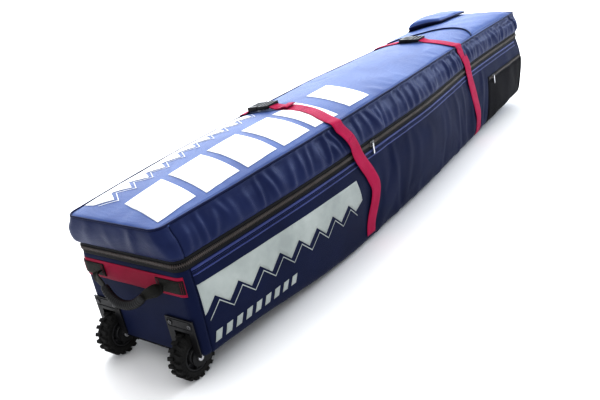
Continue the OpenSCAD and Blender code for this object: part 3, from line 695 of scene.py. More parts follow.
rng = np.random.default_rng(11)
P = side_grid(hz, -1, 200, 34)
V = np.broadcast_to(np.linspace(0, 1, 34)[None], (200, 34)); S = P[:, :, 0]
D = folds(S, V, rng, 62, 4.6, 14, 40, 625, 1400) + folds(S, V, rng, 120, 1.6, 26, 30, 40, 620) + folds(S, V, rng, 110, 2.0, 20, 20, 1400, 1690) + lumps(S, V * 250, rng, 60, 1.2, 50)
add_panel("tub_front_fabric", P, 1, D, stretch=(1.012, 1, 1), pressure=.6, pin_s=(590, 1255), bend=1.2)
P = side_grid(hr, 1, 200, 34)
D = folds(P[:, :, 0], V, rng, 90, 3.0, 18, 34, 60, 1680) + lumps(P[:, :, 0], V * 250, rng, 60, 1.4, 50)
add_panel("tub_rear_fabric", P, -1, D, stretch=(1.012, 1, 1), pressure=.6, pin_s=(590, 1255), bend=1.2, flip=True)
P = lid_grid(hz, -1, 300, 17)
V = np.broadcast_to(np.linspace(0, 1, 17)[None], (300, 17)); S = P[:, :, 0]
D = folds(S, V, rng, 31, 6.2, 8.0, 30, 24, 1690) + folds(S, V, rng, 90, 3.2, 20, 20, 24, 1690)
add_panel("lid_front_fabric", P, 1, D, stretch=(1.045, 1, 1), pressure=.8, pin_s=(590, 1255), bend=.5)
P = lid_grid(hr, 1, 300, 17)
D = folds(P[:, :, 0], V, rng, 38, 4.5, 9, 26, 24, 1690)
add_panel("lid_rear_fabric", P, -1, D, stretch=(1.04, 1, 1), pressure=.8, pin_s=(590, 1255), bend=.5, flip=True)
for e, nm in ((-1, "lid_wheel_end_fabric"), (1, "lid_far_end_fabric")):
    P = end_gusset_grid(e, 61, 17)
    L = np.broadcast_to(np.linspace(0, 360, 61)[:, None], (61, 17)); V = np.broadcast_to(np.linspace(0, 1, 17)[None], (61, 17))
    D = folds(L, V, rng, 60, 3.4, 14, 30, 10, 350)
    add_panel(nm, P, -1 if e < 0 else 1, D, stretch=(1, 1.02, 1), pressure=1.2, bend=.8, flip=e < 0)
P = tub_end_grid(1, 57, 32)
L = np.broadcast_to(np.linspace(0, 360, 57)[:, None], (57, 32)); V = np.broadcast_to(np.linspace(0, 1, 32)[None], (57, 32))
add_panel("tub_far_end_fabric", P, 1, folds(L, V, rng, 90, 2.5, 20, 30, 10, 350), stretch=(1, 1.012, 1), pressure=.8, bend=1)
P = top_grid(220, 38)
S, Y = P[:, :, 0], P[:, :, 1]
U = np.broadcast_to(np.linspace(0, 1, 38)[None], (220, 38))
near_edge = np.exp(-((U - 0) / .13) ** 2) + np.exp(-((U - 1) / .13) ** 2)
D = folds(S, np.clip(U * 1.0, 0, 1), rng, 40, 3.6, 10, 16, 0, 1750) * np.clip(near_edge, 0, 1) + lumps(S, Y, rng, 130, 2.0, 44, 2.2) + lumps(S[:, :], Y, rng, 90, 1.7, 18, 3.4)
add_panel("lid_top_fabric", P, 1, D, stretch=(1.006, 1.003, 1), pressure=.9, pin_s=(), bend=1.0)

run_cloth()

NV = [NAVY, LINING]
# NT_ holds the darker navy with painted shade for the tub's panels
NT_ = [NAVY_SHADED_TUB, LINING]
finish_panel("tub_front_fabric", NT_, 8, "tub", ("tub_front_panel",), up=(2, 2))
finish_panel("tub_rear_fabric", NT_, 8, "tub", ("tub_rear_panel",), up=(1.5, 1.5))
finish_panel("lid_front_fabric", NV, 8, "lid", ("lid_front_gusset",), up=(1.6, 1.6))
finish_panel("lid_rear_fabric", NV, 8, "lid", ("lid_rear_gusset",), up=(1.2, 1.2))
finish_panel("lid_wheel_end_fabric", NV, 8, "lid", ("lid_near_gusset",), up=(2, 2))
finish_panel("lid_far_end_fabric", NV, 8, "lid", ("lid_far_gusset",), up=(2, 2))
finish_panel("tub_far_end_fabric", NT_, 8, "tub", ("tub_far_end_panel",), up=(1.5, 1.5))
# the lid top uses the lighter navy with painted sunlight
finish_panel("lid_top_fabric", [NAVY_SUNLIT_TOP, LINING], 8, "lid", ("lid_top_panel",), up=(1.6, 1.6), cap=(7, 5))

# wheel end panel, cut away for the two wheel wells
n, m = 97, 42
P = tub_end_grid(-1, n, m)
panels["tub_wheel_end_fabric"] = dict(P0=P, N=grid_normals(P, -1))
cy = (P[:-1, :-1, 1] + P[1:, 1:, 1]) / 2; cz = (P[:-1, :-1, 2] + P[1:, 1:, 2]) / 2
ay = np.abs(np.abs(cy) - 113)
mask = ~(((ay < 26) & (cz < 113)) | ((ay < 32.5) & (cz < 65)))
p = panels["tub_wheel_end_fabric"]
D = lumps(P[:, :, 1] * 1.0, P[:, :, 2], rng, 30, 1.0, 30) * np.clip((P[:, :, 2] - 60) / 60, 0, 1)
p["P1"] = P + p["N"] * D[..., None]
finish_panel("tub_wheel_end_fabric", NT_, 6, "tub", ("tub_wheel_end_panel",), mask=mask)

# base: black coated bottom
def base_slab(name, s0, s1, n, wfun):
    A = np.zeros((n, 17, 3)); B = A.copy()
    for i, s in enumerate(np.linspace(s0, s1, n)):
        w = wfun(s)
        y = np.linspace(-w, w, 17)
        A[i] = np.stack([np.full(17, s), y, np.full(17, float(zb(s)) + .4)], 1)
        A[i, :, 2] += .6 * np.sin(s / 37.0) * np.sin(y / 29.0) * (1 if s > 560 else .3) * 0 + 0
        B[i] = A[i]; B[i, :, 2] += 4
    o = slab_obj(name, A, B, [BLACK_F, LINING])
    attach(o, "tub")
    return o
b1 = base_slab("base_fabric", 67, 1709, 120, lambda s: float(hb(s) - rc(s)) - .4)
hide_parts("base_panel")
b2 = base_slab("base_fabric_wheel_end", 1, 67, 8, lambda s: 86.0 if s > 18 else 80.0)
A = np.zeros((100, 11, 3))
for i, s in enumerate(np.linspace(72, 1700, 100)):
    w = float(hb(s) - rc(s)) - 6
    A[i] = np.stack([np.full(11, s), np.linspace(-w, w, 11), float(zb(s)) + 9.6 + 1.2 * np.sin(s / 90.0) * np.cos(np.linspace(-2, 2, 11) * 2)], 1)
o = slab_obj("floor_lining", A, A - np.array([0, 0, 1.2]), [LINING]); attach(o, "tub")

# ------------------------------------------------------------------ zip, tapes, piping
def zip_path(d, e0=60.0, e1=1655.0):
    pts = [[e0, float(hr(e0)) - d]]
    cx, cy = 24, float(hr(24)) - 24
    pts += [[cx + (24 - d) * math.cos(a), cy + (24 - d) * math.sin(a)] for a in np.radians(np.linspace(90, 180, 10))]
    cy = -(float(hz(24)) - 24)
    pts += [[cx + (24 - d) * math.cos(a), cy + (24 - d) * math.sin(a)] for a in np.radians(np.linspace(180, 270, 10))]
    pts += [[s, -(float(hz(s)) - d)] for s in np.linspace(40, 1675, 120)]
    cx, cy = 1691, -(float(hz(1691)) - 24)
    pts += [[cx + (24 - d) * math.cos(a), cy + (24 - d) * math.sin(a)] for a in np.radians(np.linspace(270, 360, 10))]
    cy = float(hr(1691)) - 24
    pts += [[cx + (24 - d) * math.cos(a), cy + (24 - d) * math.sin(a)] for a in np.radians(np.linspace(0, 90, 10))]
    pts += [[e1, float(hr(e1)) - d]]
    return np.array(pts)

def band3(name, path2, z0, z1, t, material, body, bulge=0.0, nz=5, node_=None, slot=None):
    """Upright strip along a plan path, its outer face at the path."""
    n = len(path2)
    T = np.gradient(path2, axis=0); T /= np.linalg.norm(T, axis=1, keepdims=True)
    O = np.stack([T[:, 1], -T[:, 0]], 1)
    A = np.zeros((n, nz, 3)); B = A.copy()
    for j, v in enumerate(np.linspace(0, 1, nz)):
        z = z0 + (z1 - z0) * v
        out = bulge * math.sin(math.pi * v)
        sgn = -1
        A[:, j, :2] = path2 + O * sgn * out * -1
        A[:, j, 2] = z
        B[:, j, :2] = path2 - O * t * -sgn * -1
        B[:, j, 2] = z
    o = slab_obj(name, A, B, [material])
    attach(o, body)
    if node_:
        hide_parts(*node_)
    return o

zp = resample(zip_path(1.0), 420)
T_ = np.gradient(zp, axis=0); T_ /= np.linalg.norm(T_, axis=1, keepdims=True)
OUT = np.stack([-T_[:, 1], T_[:, 0]], 1)
if (OUT[200] @ np.array([0, -1.0])) < 0:
    OUT = -OUT
def strip_band(name, off, t, z0, z1, material, body, nodes, lean=0.0, nz=4):
    A = np.zeros((len(zp), nz, 3)); B = A.copy()
    for j, v in enumerate(np.linspace(0, 1, nz)):
        A[:, j, :2] = zp + OUT * (off + lean * v); A[:, j, 2] = z0 + (z1 - z0) * v
        B[:, j] = A[:, j]; B[:, j, :2] -= OUT * t
    o = slab_obj(name, A, B, [material]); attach(o, body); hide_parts(*nodes)
    return o
strip_band("tape_lower", 0.6, 1.4, 243.0, 252.2, TAPE, "tub", ("zip_tape_lower",))
strip_band("tape_upper", 0.6, 1.4, 259.8, 268.0, TAPE, "lid", ("zip_tape_upper",))
dense = resample(zip_path(1.0), 1160)
Td = np.gradient(dense, axis=0); Td /= np.linalg.norm(Td, axis=1, keepdims=True)
Od = np.stack([-Td[:, 1], Td[:, 0]], 1)
if (Od[600] @ np.array([0, -1.0])) < 0:
    Od = -Od
def teeth_row(name, which, zc, body, nodename):
    items = []
    for i in range(which, len(dense), 2):
        c = np.array([dense[i, 0] + Od[i, 0] * 1.5, dense[i, 1] + Od[i, 1] * 1.5, zc])
        items.append((c, np.array([0, 0, 2.9]), np.array([Td[i, 0], Td[i, 1], 0]) * .82 * (1), np.array([Od[i, 0], Od[i, 1], 0]) * 1.1))
    o = boxes(name, items, TEETH, body)
    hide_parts(nodename)
teeth_row("coil_lower", 0, 254.5, "tub", "zip_chain_lower")
teeth_row("coil_upper", 1, 257.5, "lid", "zip_chain_upper")

# hinge fabric between tub and lid on the back
hs = np.linspace(64, 1650, 120)
A = np.zeros((len(hs), 9, 3))
for j, v in enumerate(np.linspace(0, 1, 9)):
    A[:, j] = np.stack([hs, hr(hs) + .3 + 1.2 * math.sin(math.pi * v), np.full(len(hs), 244.0 + 16 * v)], 1)
hinge = slab_obj("hinge_fabric", A, A - np.array([0, 1.6, 0]), [NAVY_BINDING_SHADE])
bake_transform(hinge)
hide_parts("hinge_tape")

# piped seam round the lid's top, and stitched lines beside it
def lid_outline(inset=0.0, n=520):
    S1 = np.concatenate([-12 + 22 * (1 - np.cos(np.linspace(0, math.pi / 2, 14))), np.linspace(14, 1729, 130), 1755 - 22 * (1 - np.cos(np.linspace(math.pi / 2, 0, 14)))])
    f = [[s, -(float(wtop(s)) - inset)] for s in S1]
    b = [[s, float(wtop(s)) - inset] for s in S1[::-1]]
    pts = np.array(f + b + [f[0]])
    r = resample(pts, n + 1)[:-1]
    return r
ol = lid_outline()
C = np.stack([ol[:, 0], ol[:, 1], zt(ol[:, 0]) - .4], 1)
# the piping cord is the darker navy: painted shade of the seam line
o = tube("lid_piping_cord", C, 2.3, NAVY_BINDING_SHADE, 10, True, "lid"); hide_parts("lid_piping")

def seam_on(name, panel, pts, material, body, r=1.3, comp=2, off=.3, slot=None, seg=8, flat=1.0):
    C = []
    for s, v in pts:
        P_, N_ = at(panel, s, v, comp)
        C.append(P_ + N_ * off)
    o = tube(name, np.array(C), r, material, seg, False, body)
    return o

SS = np.linspace(26, 1688, 150)
def placket(name, panel, z0, z1, out, mat_, body):
    A = np.zeros((len(SS), 5, 3)); B = A.copy()
    for i, s in enumerate(SS):
        for j, v in enumerate(np.linspace(0, 1, 5)):
            P_, N_ = at(panel, s, z0 + (z1 - z0) * v, 2)
            A[i, j] = P_ + N_ * (out * (.25 + .75 * math.sin(math.pi * v)))
            B[i, j] = P_ - N_ * .8
    o = slab_obj(name, A, B, [mat_]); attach(o, body)
    return o
pf_ = placket("tub_piping_front", "tub_front_fabric", 236.5, 241.5, 2.2, BLUE_P, "tub")
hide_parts("tub_piping")
pf2 = placket("tub_piping_front_low", "tub_front_fabric", 224.5, 228.0, 1.6, BLUE_P, "tub")
pf3 = placket("tub_seam_shadow_front", "tub_front_fabric", 229.6, 231.6, .9, NAVY_BINDING_SHADE, "tub")
pr_ = placket("tub_piping_rear", "tub_rear_fabric", 224.5, 228.0, 1.8, BLUE_P, "tub")

def stitches(name, panel, pts, comp, body, pitch=4.0, material=None, off=.35, size=(1.25, .32, .22)):
    P3 = np.array([np.concatenate(at(panel, s, v, comp)) for s, v in pts])
    L = np.concatenate([[0], np.cumsum(np.linalg.norm(np.diff(P3[:, :3], axis=0), axis=1))])
    t = np.arange(0, L[-1], pitch)
    Q = np.stack([np.interp(t, L, P3[:, k]) for k in range(6)], 1)
    T = np.gradient(Q[:, :3], axis=0); T /= np.linalg.norm(T, axis=1, keepdims=True)
    items = []
    for q, tt in zip(Q, T):
        N_ = q[3:] / np.linalg.norm(q[3:]); W_ = np.cross(N_, tt)
        items.append((q[:3] + N_ * off, tt * size[0], W_ * size[1], N_ * size[2]))
    o = boxes(name, items, material or BLUE_P, body)
    return o
stitches("stitching_lid_front", "lid_top_fabric", [(s, -(float(wtop(s)) - 7)) for s in np.linspace(0, 1742, 220)], 1, "lid")
stitches("stitching_lid_rear", "lid_top_fabric", [(s, float(wtop(s)) - 7) for s in np.linspace(0, 1742, 220)], 1, "lid")
stitches("stitching_zip_front", "lid_front_fabric", [(s, 271.5) for s in np.linspace(26, 1688, 220)], 2, "lid")
stitches("stitching_tub_front", "tub_front_fabric", [(s, 233.5) for s in np.linspace(28, 1686, 220)], 2, "tub")

# ------------------------------------------------------------------ printed areas (plain shapes)
def decal(name, panel, outline, comp, material, body, step=9.0, off=.55, thick=.35):
    """Printed shape: outline is [(s, v)], v the height or the width."""
    pts = []
    n = len(outline)
    for i in range(n):
        a, b = np.array(outline[i], float), np.array(outline[(i + 1) % n], float)
        k = max(1, int(np.linalg.norm(b - a) / step))
        for j in range(k):
            pts.append(tuple(a + (b - a) * j / k))
    nb = len(pts)
    edges = [(i, (i + 1) % nb) for i in range(nb)]
    po = np.array(pts)
    def inside(q):
        c = False
        x, y = q
        for i in range(nb):
            x1, y1 = po[i]; x2, y2 = po[(i + 1) % nb]
            if (y1 > y) != (y2 > y) and x < (x2 - x1) * (y - y1) / (y2 - y1) + x1:
                c = not c
        return c
    lo, hi = po.min(0), po.max(0)
    for x in np.arange(lo[0] + step / 2, hi[0], step):
        for y in np.arange(lo[1] + step / 2, hi[1], step):
            if inside((x, y)) and np.min(np.abs(po - (x, y)).sum(1)) > step * .5:
                pts.append((x, y))
    V2, _, F2, *_ = delaunay_2d_cdt([Vector(p_) for p_ in pts], edges, [], 1, 1e-5)
    V, W = [], []
    for v in V2:
        P_, N_ = at(panel, v.x, v.y, comp)
        V.append(P_ + N_ * (off + thick)); W.append(P_ + N_ * off)
    k = len(V)
    F = [tuple(f) for f in F2]
    cnt = {}
    for f in F:
        for a, b in zip(f, f[1:] + f[:1]):
            cnt[(a, b)] = 1
    faces = list(F) + [tuple(x + k for x in reversed(f)) for f in F]
    for (a, b) in cnt:
        if (b, a) not in cnt:
            faces.append((b, a, a + k, b + k))
    o = new_obj(name, to_m(np.array(V + W)), faces, [material])
    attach(o, body)
    return o

x = 14.0
for i in range(6):
    w = 104 - i * 2.0
    if i == 5:
        x += 30
    y0, y1 = -(float(ht(x + 40)) - 23), 16
    sl = 34
    pts = [(x + sl * .0, y0), (x + w, y0), (x + w + sl, y1), (x + sl, y1)]
    decal("print_block_%d" % (i + 1), "lid_top_fabric", pts, 1, WHITE, "lid")
    x += w + 20
# zigzag band along the back edge of the lid
zz = []
for k, s in enumerate(np.arange(30, 560, 26.0)):
    w = float(wtop(s))
    zz.append((s, w - (82 if k % 2 else 42)))
outl = [(s, float(wtop(s)) - 9) for s in np.linspace(30, zz[-1][0], 24)] + zz[::-1]
o = decal("print_back_zigzag", "lid_top_fabric", outl, 1, WHITE, "lid")
ln = [(s, float(wtop(s)) - (94 if k % 2 else 58)) for k, s in enumerate(np.arange(30, 560, 26.0))]
outl = ln + [(a, b - 3.2) for a, b in ln[::-1]]
o = decal("print_back_line", "lid_top_fabric", outl, 1, WHITE, "lid")
# silver band on the zipped side
top = [(s, 206 + (s - 26) / 530 * -8) for s in np.linspace(26, 545, 30)]
low = []
for k, s in enumerate(np.linspace(26, 528, 17)):
    low.append((s, (168 if k % 2 else 138) - (s / 528) * 14))
tip = [(560, 140)]
o = decal("print_side_band", "tub_front_fabric", top + tip + low[::-1], 2, SILVER, "tub")
ln = [(s + 8, v - 13) for s, v in low]
o = decal("print_side_line", "tub_front_fabric", ln + [(a, b - 3.4) for a, b in ln[::-1]], 2, SILVER, "tub")
x = 34.0
for i in range(9):
    o = decal("print_side_bar_%d" % (i + 1), "tub_front_fabric", [(x, 70 - i * .6), (x + 17, 70 - i * .6), (x + 24, 93 - i * .8), (x + 7, 93 - i * .8)], 2, SILVER, "tub", step=6)
    x += 29

# ------------------------------------------------------------------ wheel end: band, webbing, grip
def end_at(y, z):
    A = panels["tub_wheel_end_fabric"]["A"]
    n, m = A.shape[:2]
    row = A[n // 2, :, 2]
    j = float(np.interp(z, row, np.arange(m)))
    a = min(int(j), m - 2); u = j - a
    col = A[:, a, 1] * (1 - u) + A[:, a + 1, 1] * u
    i = float(np.interp(y, col, np.arange(n)))
    return sample("tub_wheel_end_fabric", i, j)
def end_ribbon(name, ys, z, w, t, material, lift, dz=None):
    C, N = [], []
    for y in ys:
        P_, N_ = end_at(y, z)
        C.append(P_); N.append(N_)
    return ribbon(name, C, N, w, t, material, "tub", lift)
o = end_ribbon("wheel_end_crimson_band", np.linspace(-151, 151, 61), 211.5, 43, 1.2, CRIM_F, .1)
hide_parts("wheel_end_band")
for g, nm in ((-1, "right"), (1, "left")):
    o = end_ribbon("grab_anchor_" + nm, np.linspace(-150, -80, 24) if g < 0 else np.linspace(80, 150, 24), 211.5, 29, 2.0, BLACK_W, 1.4)
    if g < 0:
        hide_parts("grab_anchor_webbing")
    items = []
    for yy in (84, 88, 144, 147):
        for k in range(9):
            P_, N_ = end_at(g * yy, 200 + k * 2.9)
            items.append((P_ + N_ * 3.75, np.array([0, 0, 1.0]), np.array([0, .35, 0]), N_ * .25))
    o = boxes("grab_stitching_" + nm, items, CRIM_W, "tub")

# grip: ribbed rubber tube, standing out from the panel
def lifted(P, ang=22.0):
    P = np.asarray(P, float)
    a = math.radians(ang)
    x, z = P[..., 0] + 4.3, P[..., 2] - 207.8
    return np.stack([-4.3 + x * math.cos(a) + z * math.sin(a), P[..., 1], 207.8 - x * math.sin(a) + z * math.cos(a)], -1)
angs = np.radians(np.linspace(222, 318, 150))
C = lifted(np.stack([np.full(150, -19.0), 80 * np.cos(angs), 238 + 80 * np.sin(angs)], 1))
tpar = np.linspace(0, 1, 150)
rad = 9.2 + .75 * np.cos(tpar * 2 * math.pi * 22) * np.clip(np.sin(np.pi * tpar) * 3, 0, 1)
rad = np.where((tpar > .06) & (tpar < .94), rad, 8.8 - 1.2 * np.exp(-(np.minimum(tpar, 1 - tpar) / .012) ** 2))
o = tube("grip_ribbed", C, 9.2, GRIPM, 24, False, "grab_handle", rad=rad)
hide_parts("grab_grip")
for g, nm in ((-1, "right"), (1, "left")):
    K = lifted(np.array([[-8.5, g * 96, 205], [-13.5, g * 92, 202.5], [-17.5, g * 86, 199], [-19.4, g * 79, 195.5], [-19.6, g * 71, 191.5], [-19.2, g * 64.5, 187.5], [-19, g * 60, 184.8]]))
    K = np.vstack([[[-6.1, g * 99, 208.5]], K])
    C = curve(K, np.linspace(0, 1, 30))
    T = np.gradient(C, axis=0); T /= np.linalg.norm(T, axis=1, keepdims=True)
    Nn = []
    for i, t_ in enumerate(T):
        w = i / 29.0
        h = np.array([-1.0, 0, 0]) * (.3 + .7 * min(1, w * 2.2)) + np.array([0, 0, 1.0]) * max(0, .8 - w * 1.6)
        h = h - t_ * (h @ t_)
        Nn.append(h / np.linalg.norm(h))
    wd = np.interp(np.linspace(0, 1, 30), [0, .35, .75, 1], [26, 26, 21, 16])
    o = ribbon("grab_loop_" + nm, C, Nn, 28, 2.4, BLACK_W, lift=-1.2, widths=wd)
    q0, q1 = to_m([C[1]])[0], to_m([C[17]])[0]
    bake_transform(o)
    if g < 0:
        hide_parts("grab_webbing")

# wheels
for g, nm in ((1, "left"), (-1, "right")):
    c = (4, g * 113, 50)
    prof = [(31, -16.5), (32.5, -17.8), (39, -18), (42.5, -16.5), (44.6, -12), (45.4, -6), (44.6, -1.6), (44.6, 1.6), (45.4, 6), (44.6, 12), (42.5, 16.5), (39, 18), (32.5, 17.8), (31, 16.5)]
    o = lathe("tyre_body_" + nm, prof, 96, c, RUBBER, "wheel_" + nm)
    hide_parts("tyre_" + nm)
    items = []
    for i in range(18):
        for row, off in ((-1, 0), (1, 10)):
            a = math.radians(-90 + i * 20 + off)
            R_ = np.array([math.cos(a), 0, math.sin(a)]); T2 = np.array([-math.sin(a), 0, math.cos(a)])
            items.append((np.array(c) + R_ * 46.2 + np.array([0, row * 9.6, 0]), T2 * 3.9 , np.array([0, 7.6, 0]) + T2 * row * 1.2, R_ * 3.6))
    o = boxes("tyre_blocks_" + nm, items, RUBBER, "wheel_" + nm)
    items = []
    for i in range(36):
        a = math.radians(i * 10 + 5)
        R_ = np.array([math.cos(a), 0, math.sin(a)]); T2 = np.array([-math.sin(a), 0, math.cos(a)])
        for sg in (-1, 1):
            items.append((np.array(c) + R_ * 38.5 + np.array([0, sg * 17.9, 0]), T2 * 1.1, R_ * 3.2, np.array([0, sg * .7, 0])))
    o = boxes("tyre_side_ribs_" + nm, items, RUBBER, "wheel_" + nm)
    prof = [(10.1, -16.5), (10.8, -17), (17.2, -17), (18.2, -16.2), (19.6, -9), (20.6, -6.5), (25.2, -6.5), (26.2, -9), (26.9, -15.6), (27.8, -16.3), (30.8, -16.2), (30.9, 16.2), (27.8, 16.3), (26.9, 15.6), (26.2, 9), (25.2, 6.5), (20.6, 6.5), (19.6, 9), (18.2, 16.2), (17.2, 17), (10.8, 17), (10.1, 16.5)]
    o = lathe("hub_" + nm, prof, 96, c, HUBM, "wheel_" + nm)
    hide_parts("wheel_hub_" + nm)
    items = []
    for i in range(6):
        a = math.radians(i * 60 + 15)
        R_ = np.array([math.cos(a), 0, math.sin(a)]); T2 = np.array([-math.sin(a), 0, math.cos(a)])
        for sg in (-1, 1):
            items.append((np.array(c) + R_ * 22.9 + np.array([0, sg * 10.4, 0]), R_ * 4.3, T2 * 1.9, np.array([0, sg * 4.6, 0])))
    o = boxes("hub_spokes_" + nm, items, HUBM, "wheel_" + nm)
    bevel_copy("bearings_" + nm, "bearing_rings_" + nm, STEEL, "wheel_" + nm, .0005, 2)
    bevel_copy("axle_" + nm, "axle_bolt_" + nm, STEEL, "tub", .0006, 2)
    bevel_copy("wheel_housing_" + nm, "wheel_housing_moulded_" + nm, HOUSE, "tub", .0011, 3)
    # raised rim moulded on the face plate
    gy = g * 113
    y0, y1 = (gy - 39 + (0 if g > 0 else 2), gy + 37 + (0 if g > 0 else 2))
    rim = np.array([[-3.6, y0 + 5, 134], [-3.6, y1 - 5, 134], [-3.6, y1 - 5, 116], [-3.6, y0 + 5, 116]])
    rr = resample(np.vstack([rim, rim[:1]]), 80)[:-1]
    for _ in range(3):
        rr = (rr + np.roll(rr, 1, 0) + np.roll(rr, -1, 0)) / 3
    o = tube("housing_rim_" + nm, rr, 1.1, HOUSE, 8, True, "tub")
bevel_copy("axle_nuts", "axle_nut_set", STEEL, "tub", .0005, 2)
bevel_copy("housing_screws", "housing_screw_set", GUN, "tub", .0006, 2)
# dark crosses on the screw heads: painted shade of the drive recesses
items = []
for g in (-1, 1):
    for yy in (-27, 27):
        for k in (0, 1):
            a = math.radians(35 + 90 * k)
            items.append((np.array([-5.5, g * 113 + yy, 125]), np.array([0, math.cos(a), math.sin(a)]) * 3.0, np.array([0, -math.sin(a), math.cos(a)]) * .55, np.array([-.16, 0, 0])))
o = boxes("screw_slot_painted_shade", items, BOARD, "tub")

# ------------------------------------------------------------------ side pocket
ps0, ps1 = 1414.0, 1704.0
send = float(panels["tub_front_fabric"]["A"][-1, panels["tub_front_fabric"]["A"].shape[1] // 2, 0]) - 1.5
SP = np.linspace(ps0, send, 50)
A = np.zeros((50, 26, 3)); B = A.copy()
for i, s in enumerate(SP):
    for j, v in enumerate(np.linspace(0, 1, 26)):
        zlo = float(zb(s)) + 9
        z = zlo + (174 - zlo) * v
        P_, N_ = at("tub_front_fabric", s, z, 2)
        e_ = min(1, min(i, 49 - i) / 2.0, min(j, 25 - j) / 2.0)
        lift = .3 + 2.2 * e_ + 1.6 * math.sin(math.pi * v) * math.sin(math.pi * (s - ps0) / (send - ps0)) + .9 * math.sin(s / 17.0 + 3 * v) * math.sin(math.pi * v) * e_
        A[i, j] = P_ + N_ * lift; B[i, j] = P_ - N_ * .8
Ae = panels["tub_far_end_fabric"]["A"]; Ne = panels["tub_far_end_fabric"]["NA"]
rows_ = [i for i in range(Ae.shape[0]) if Ae[i, Ae.shape[1] // 2, 1] < -128]
cols_ = [j for j in range(Ae.shape[1]) if float(zb(1700)) + 10 < Ae[rows_[0], j, 2] < 176]
Ac = np.array([[Ae[i, j] + Ne[i, j] * (2.4 if 0 < i < rows_[-1] and j not in (cols_[0], cols_[-1]) else .8) for j in cols_] for i in rows_])
Bc = np.array([[Ae[i, j] - Ne[i, j] * .8 for j in cols_] for i in rows_])
oc = slab_obj("side_pocket_corner", Ac, Bc, [BLACK_F]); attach(oc, "tub")
o = slab_obj("side_pocket_fabric", A, B, [BLACK_F]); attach(o, "tub"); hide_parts("side_pocket_panel")
A = np.zeros((60, 5, 3)); B = A.copy()
for i, s in enumerate(np.linspace(ps0 + 2, send, 60)):
    for j, v in enumerate(np.linspace(0, 1, 5)):
        P_, N_ = at("tub_front_fabric", s, 173.5 + 14 * v, 2)
        A[i, j] = P_ + N_ * 1.6; B[i, j] = P_ - N_ * .6
o = slab_obj("side_pocket_tape", A, B, [TAPE]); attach(o, "tub"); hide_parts("side_pocket_zip")
items = []
for k, s in enumerate(np.arange(ps0 + 8, send - 4, 2.4)):
    P_, N_ = at("tub_front_fabric", s, 180.5 + (.7 if k % 2 else -.7), 2)
    items.append((P_ + N_ * 2.1, np.array([0, 0, 2.2]), np.array([.8, 0, 0]), N_ * 1.0))
o = boxes("side_pocket_coil", items, TEETH, "tub")

# ------------------------------------------------------------------ lid pocket, flap
seam_pts = np.array([[1290, 122], [1300, 96], [1345, 45], [1398, 0], [1424, -45], [1420, -90], [1392, -126], [1378, -133]], float)
sc_ = curve(seam_pts, np.linspace(0, 1, 60))
def pocket_edge(y):
    o_ = np.argsort(sc_[:, 1])
    return float(np.interp(y, sc_[o_, 1], sc_[o_, 0]))
nS, nY = 60, 44
A = np.zeros((nS, nY, 3)); B = A.copy()
for j, u in enumerate(np.linspace(-1, 1, nY)):
    for i, v in enumerate(np.linspace(0, 1, nS)):
        yy = u * (float(wtop(1500)) - 7)
        s0_ = pocket_edge(yy)
        s = s0_ + (1742 - s0_) * v
        w = float(wtop(s)) - 7
        yy = u * w
        P_, N_ = at("lid_top_fabric", s, yy, 1)
        e_ = min(1, i / 1.5, (nS - 1 - i) / 2.0, j / 2.0, (nY - 1 - j) / 2.0)
        A[i, j] = P_ + N_ * (.5 + 2.6 * e_ + 1.3 * math.sin(math.pi * v) * math.cos(u * 1.4) + .8 * math.sin(s / 23.0 + u * 5) * math.sin(yy / 19.0 + s / 60.0) * e_)
        B[i, j] = P_ - N_ * .8
# the lid pocket uses the lighter navy with painted sunlight
o = slab_obj("lid_pocket_fabric", A, B, [NAVY_SUNLIT_TOP]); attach(o, "lid"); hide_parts("lid_pocket_panel")
C = []
for s, y in sc_:
    P_, N_ = at("lid_top_fabric", s, float(np.clip(y, -wtop(s) + 5, wtop(s) - 5)), 1)
    C.append(P_ + N_ * 2.2)
# the pocket seam cord is the darker navy: painted seam shade
o = tube("lid_pocket_seam", np.array(C), 2.0, NAVY_BINDING_SHADE, 8, False, "lid")
# flap: a padded cover, hinged along its outer edge
nS, nY = 60, 34
s_lo = lambda y: float(np.interp(y, [30, 112], [1500, 1424]))
kf = lk([[1424, .7], [1475, 1], [1560, .95], [1640, .7], [1700, .3]], 12)
def flap_top(s, y):
    return float(ztop(s, y)) + 14 + (5 + 18 * (y - 30) / 82) * float(kf(s))
A = np.zeros((nS, nY, 3)); B = A.copy()
for j, u in enumerate(np.linspace(0, 1, nY)):
    yy = 30 + 82 * u
    for i, v in enumerate(np.linspace(0, 1, nS)):
        s = s_lo(yy) + (1700 - s_lo(yy)) * v
        e_ = min((s - s_lo(yy)) * .74, 1700 - s, yy - 30, 112.5 - yy)
        ft = math.sqrt(max(0, 1 - (1 - min(1, e_ / 11.0)) ** 2)); fb = math.sqrt(max(0, 1 - (1 - min(1, e_ / 5.0)) ** 2))
        top, bot = flap_top(s, yy), float(ztop(s, yy)) + 7.2
        mid = bot + (top - bot) * .42
        A[i, j] = (s, yy, mid + (top + .8 * math.sin(s / 19.0 + yy / 11.0) + 1.0 - mid) * max(ft, .04))
        B[i, j] = (s, yy, mid - (mid - bot) * max(fb, .04))
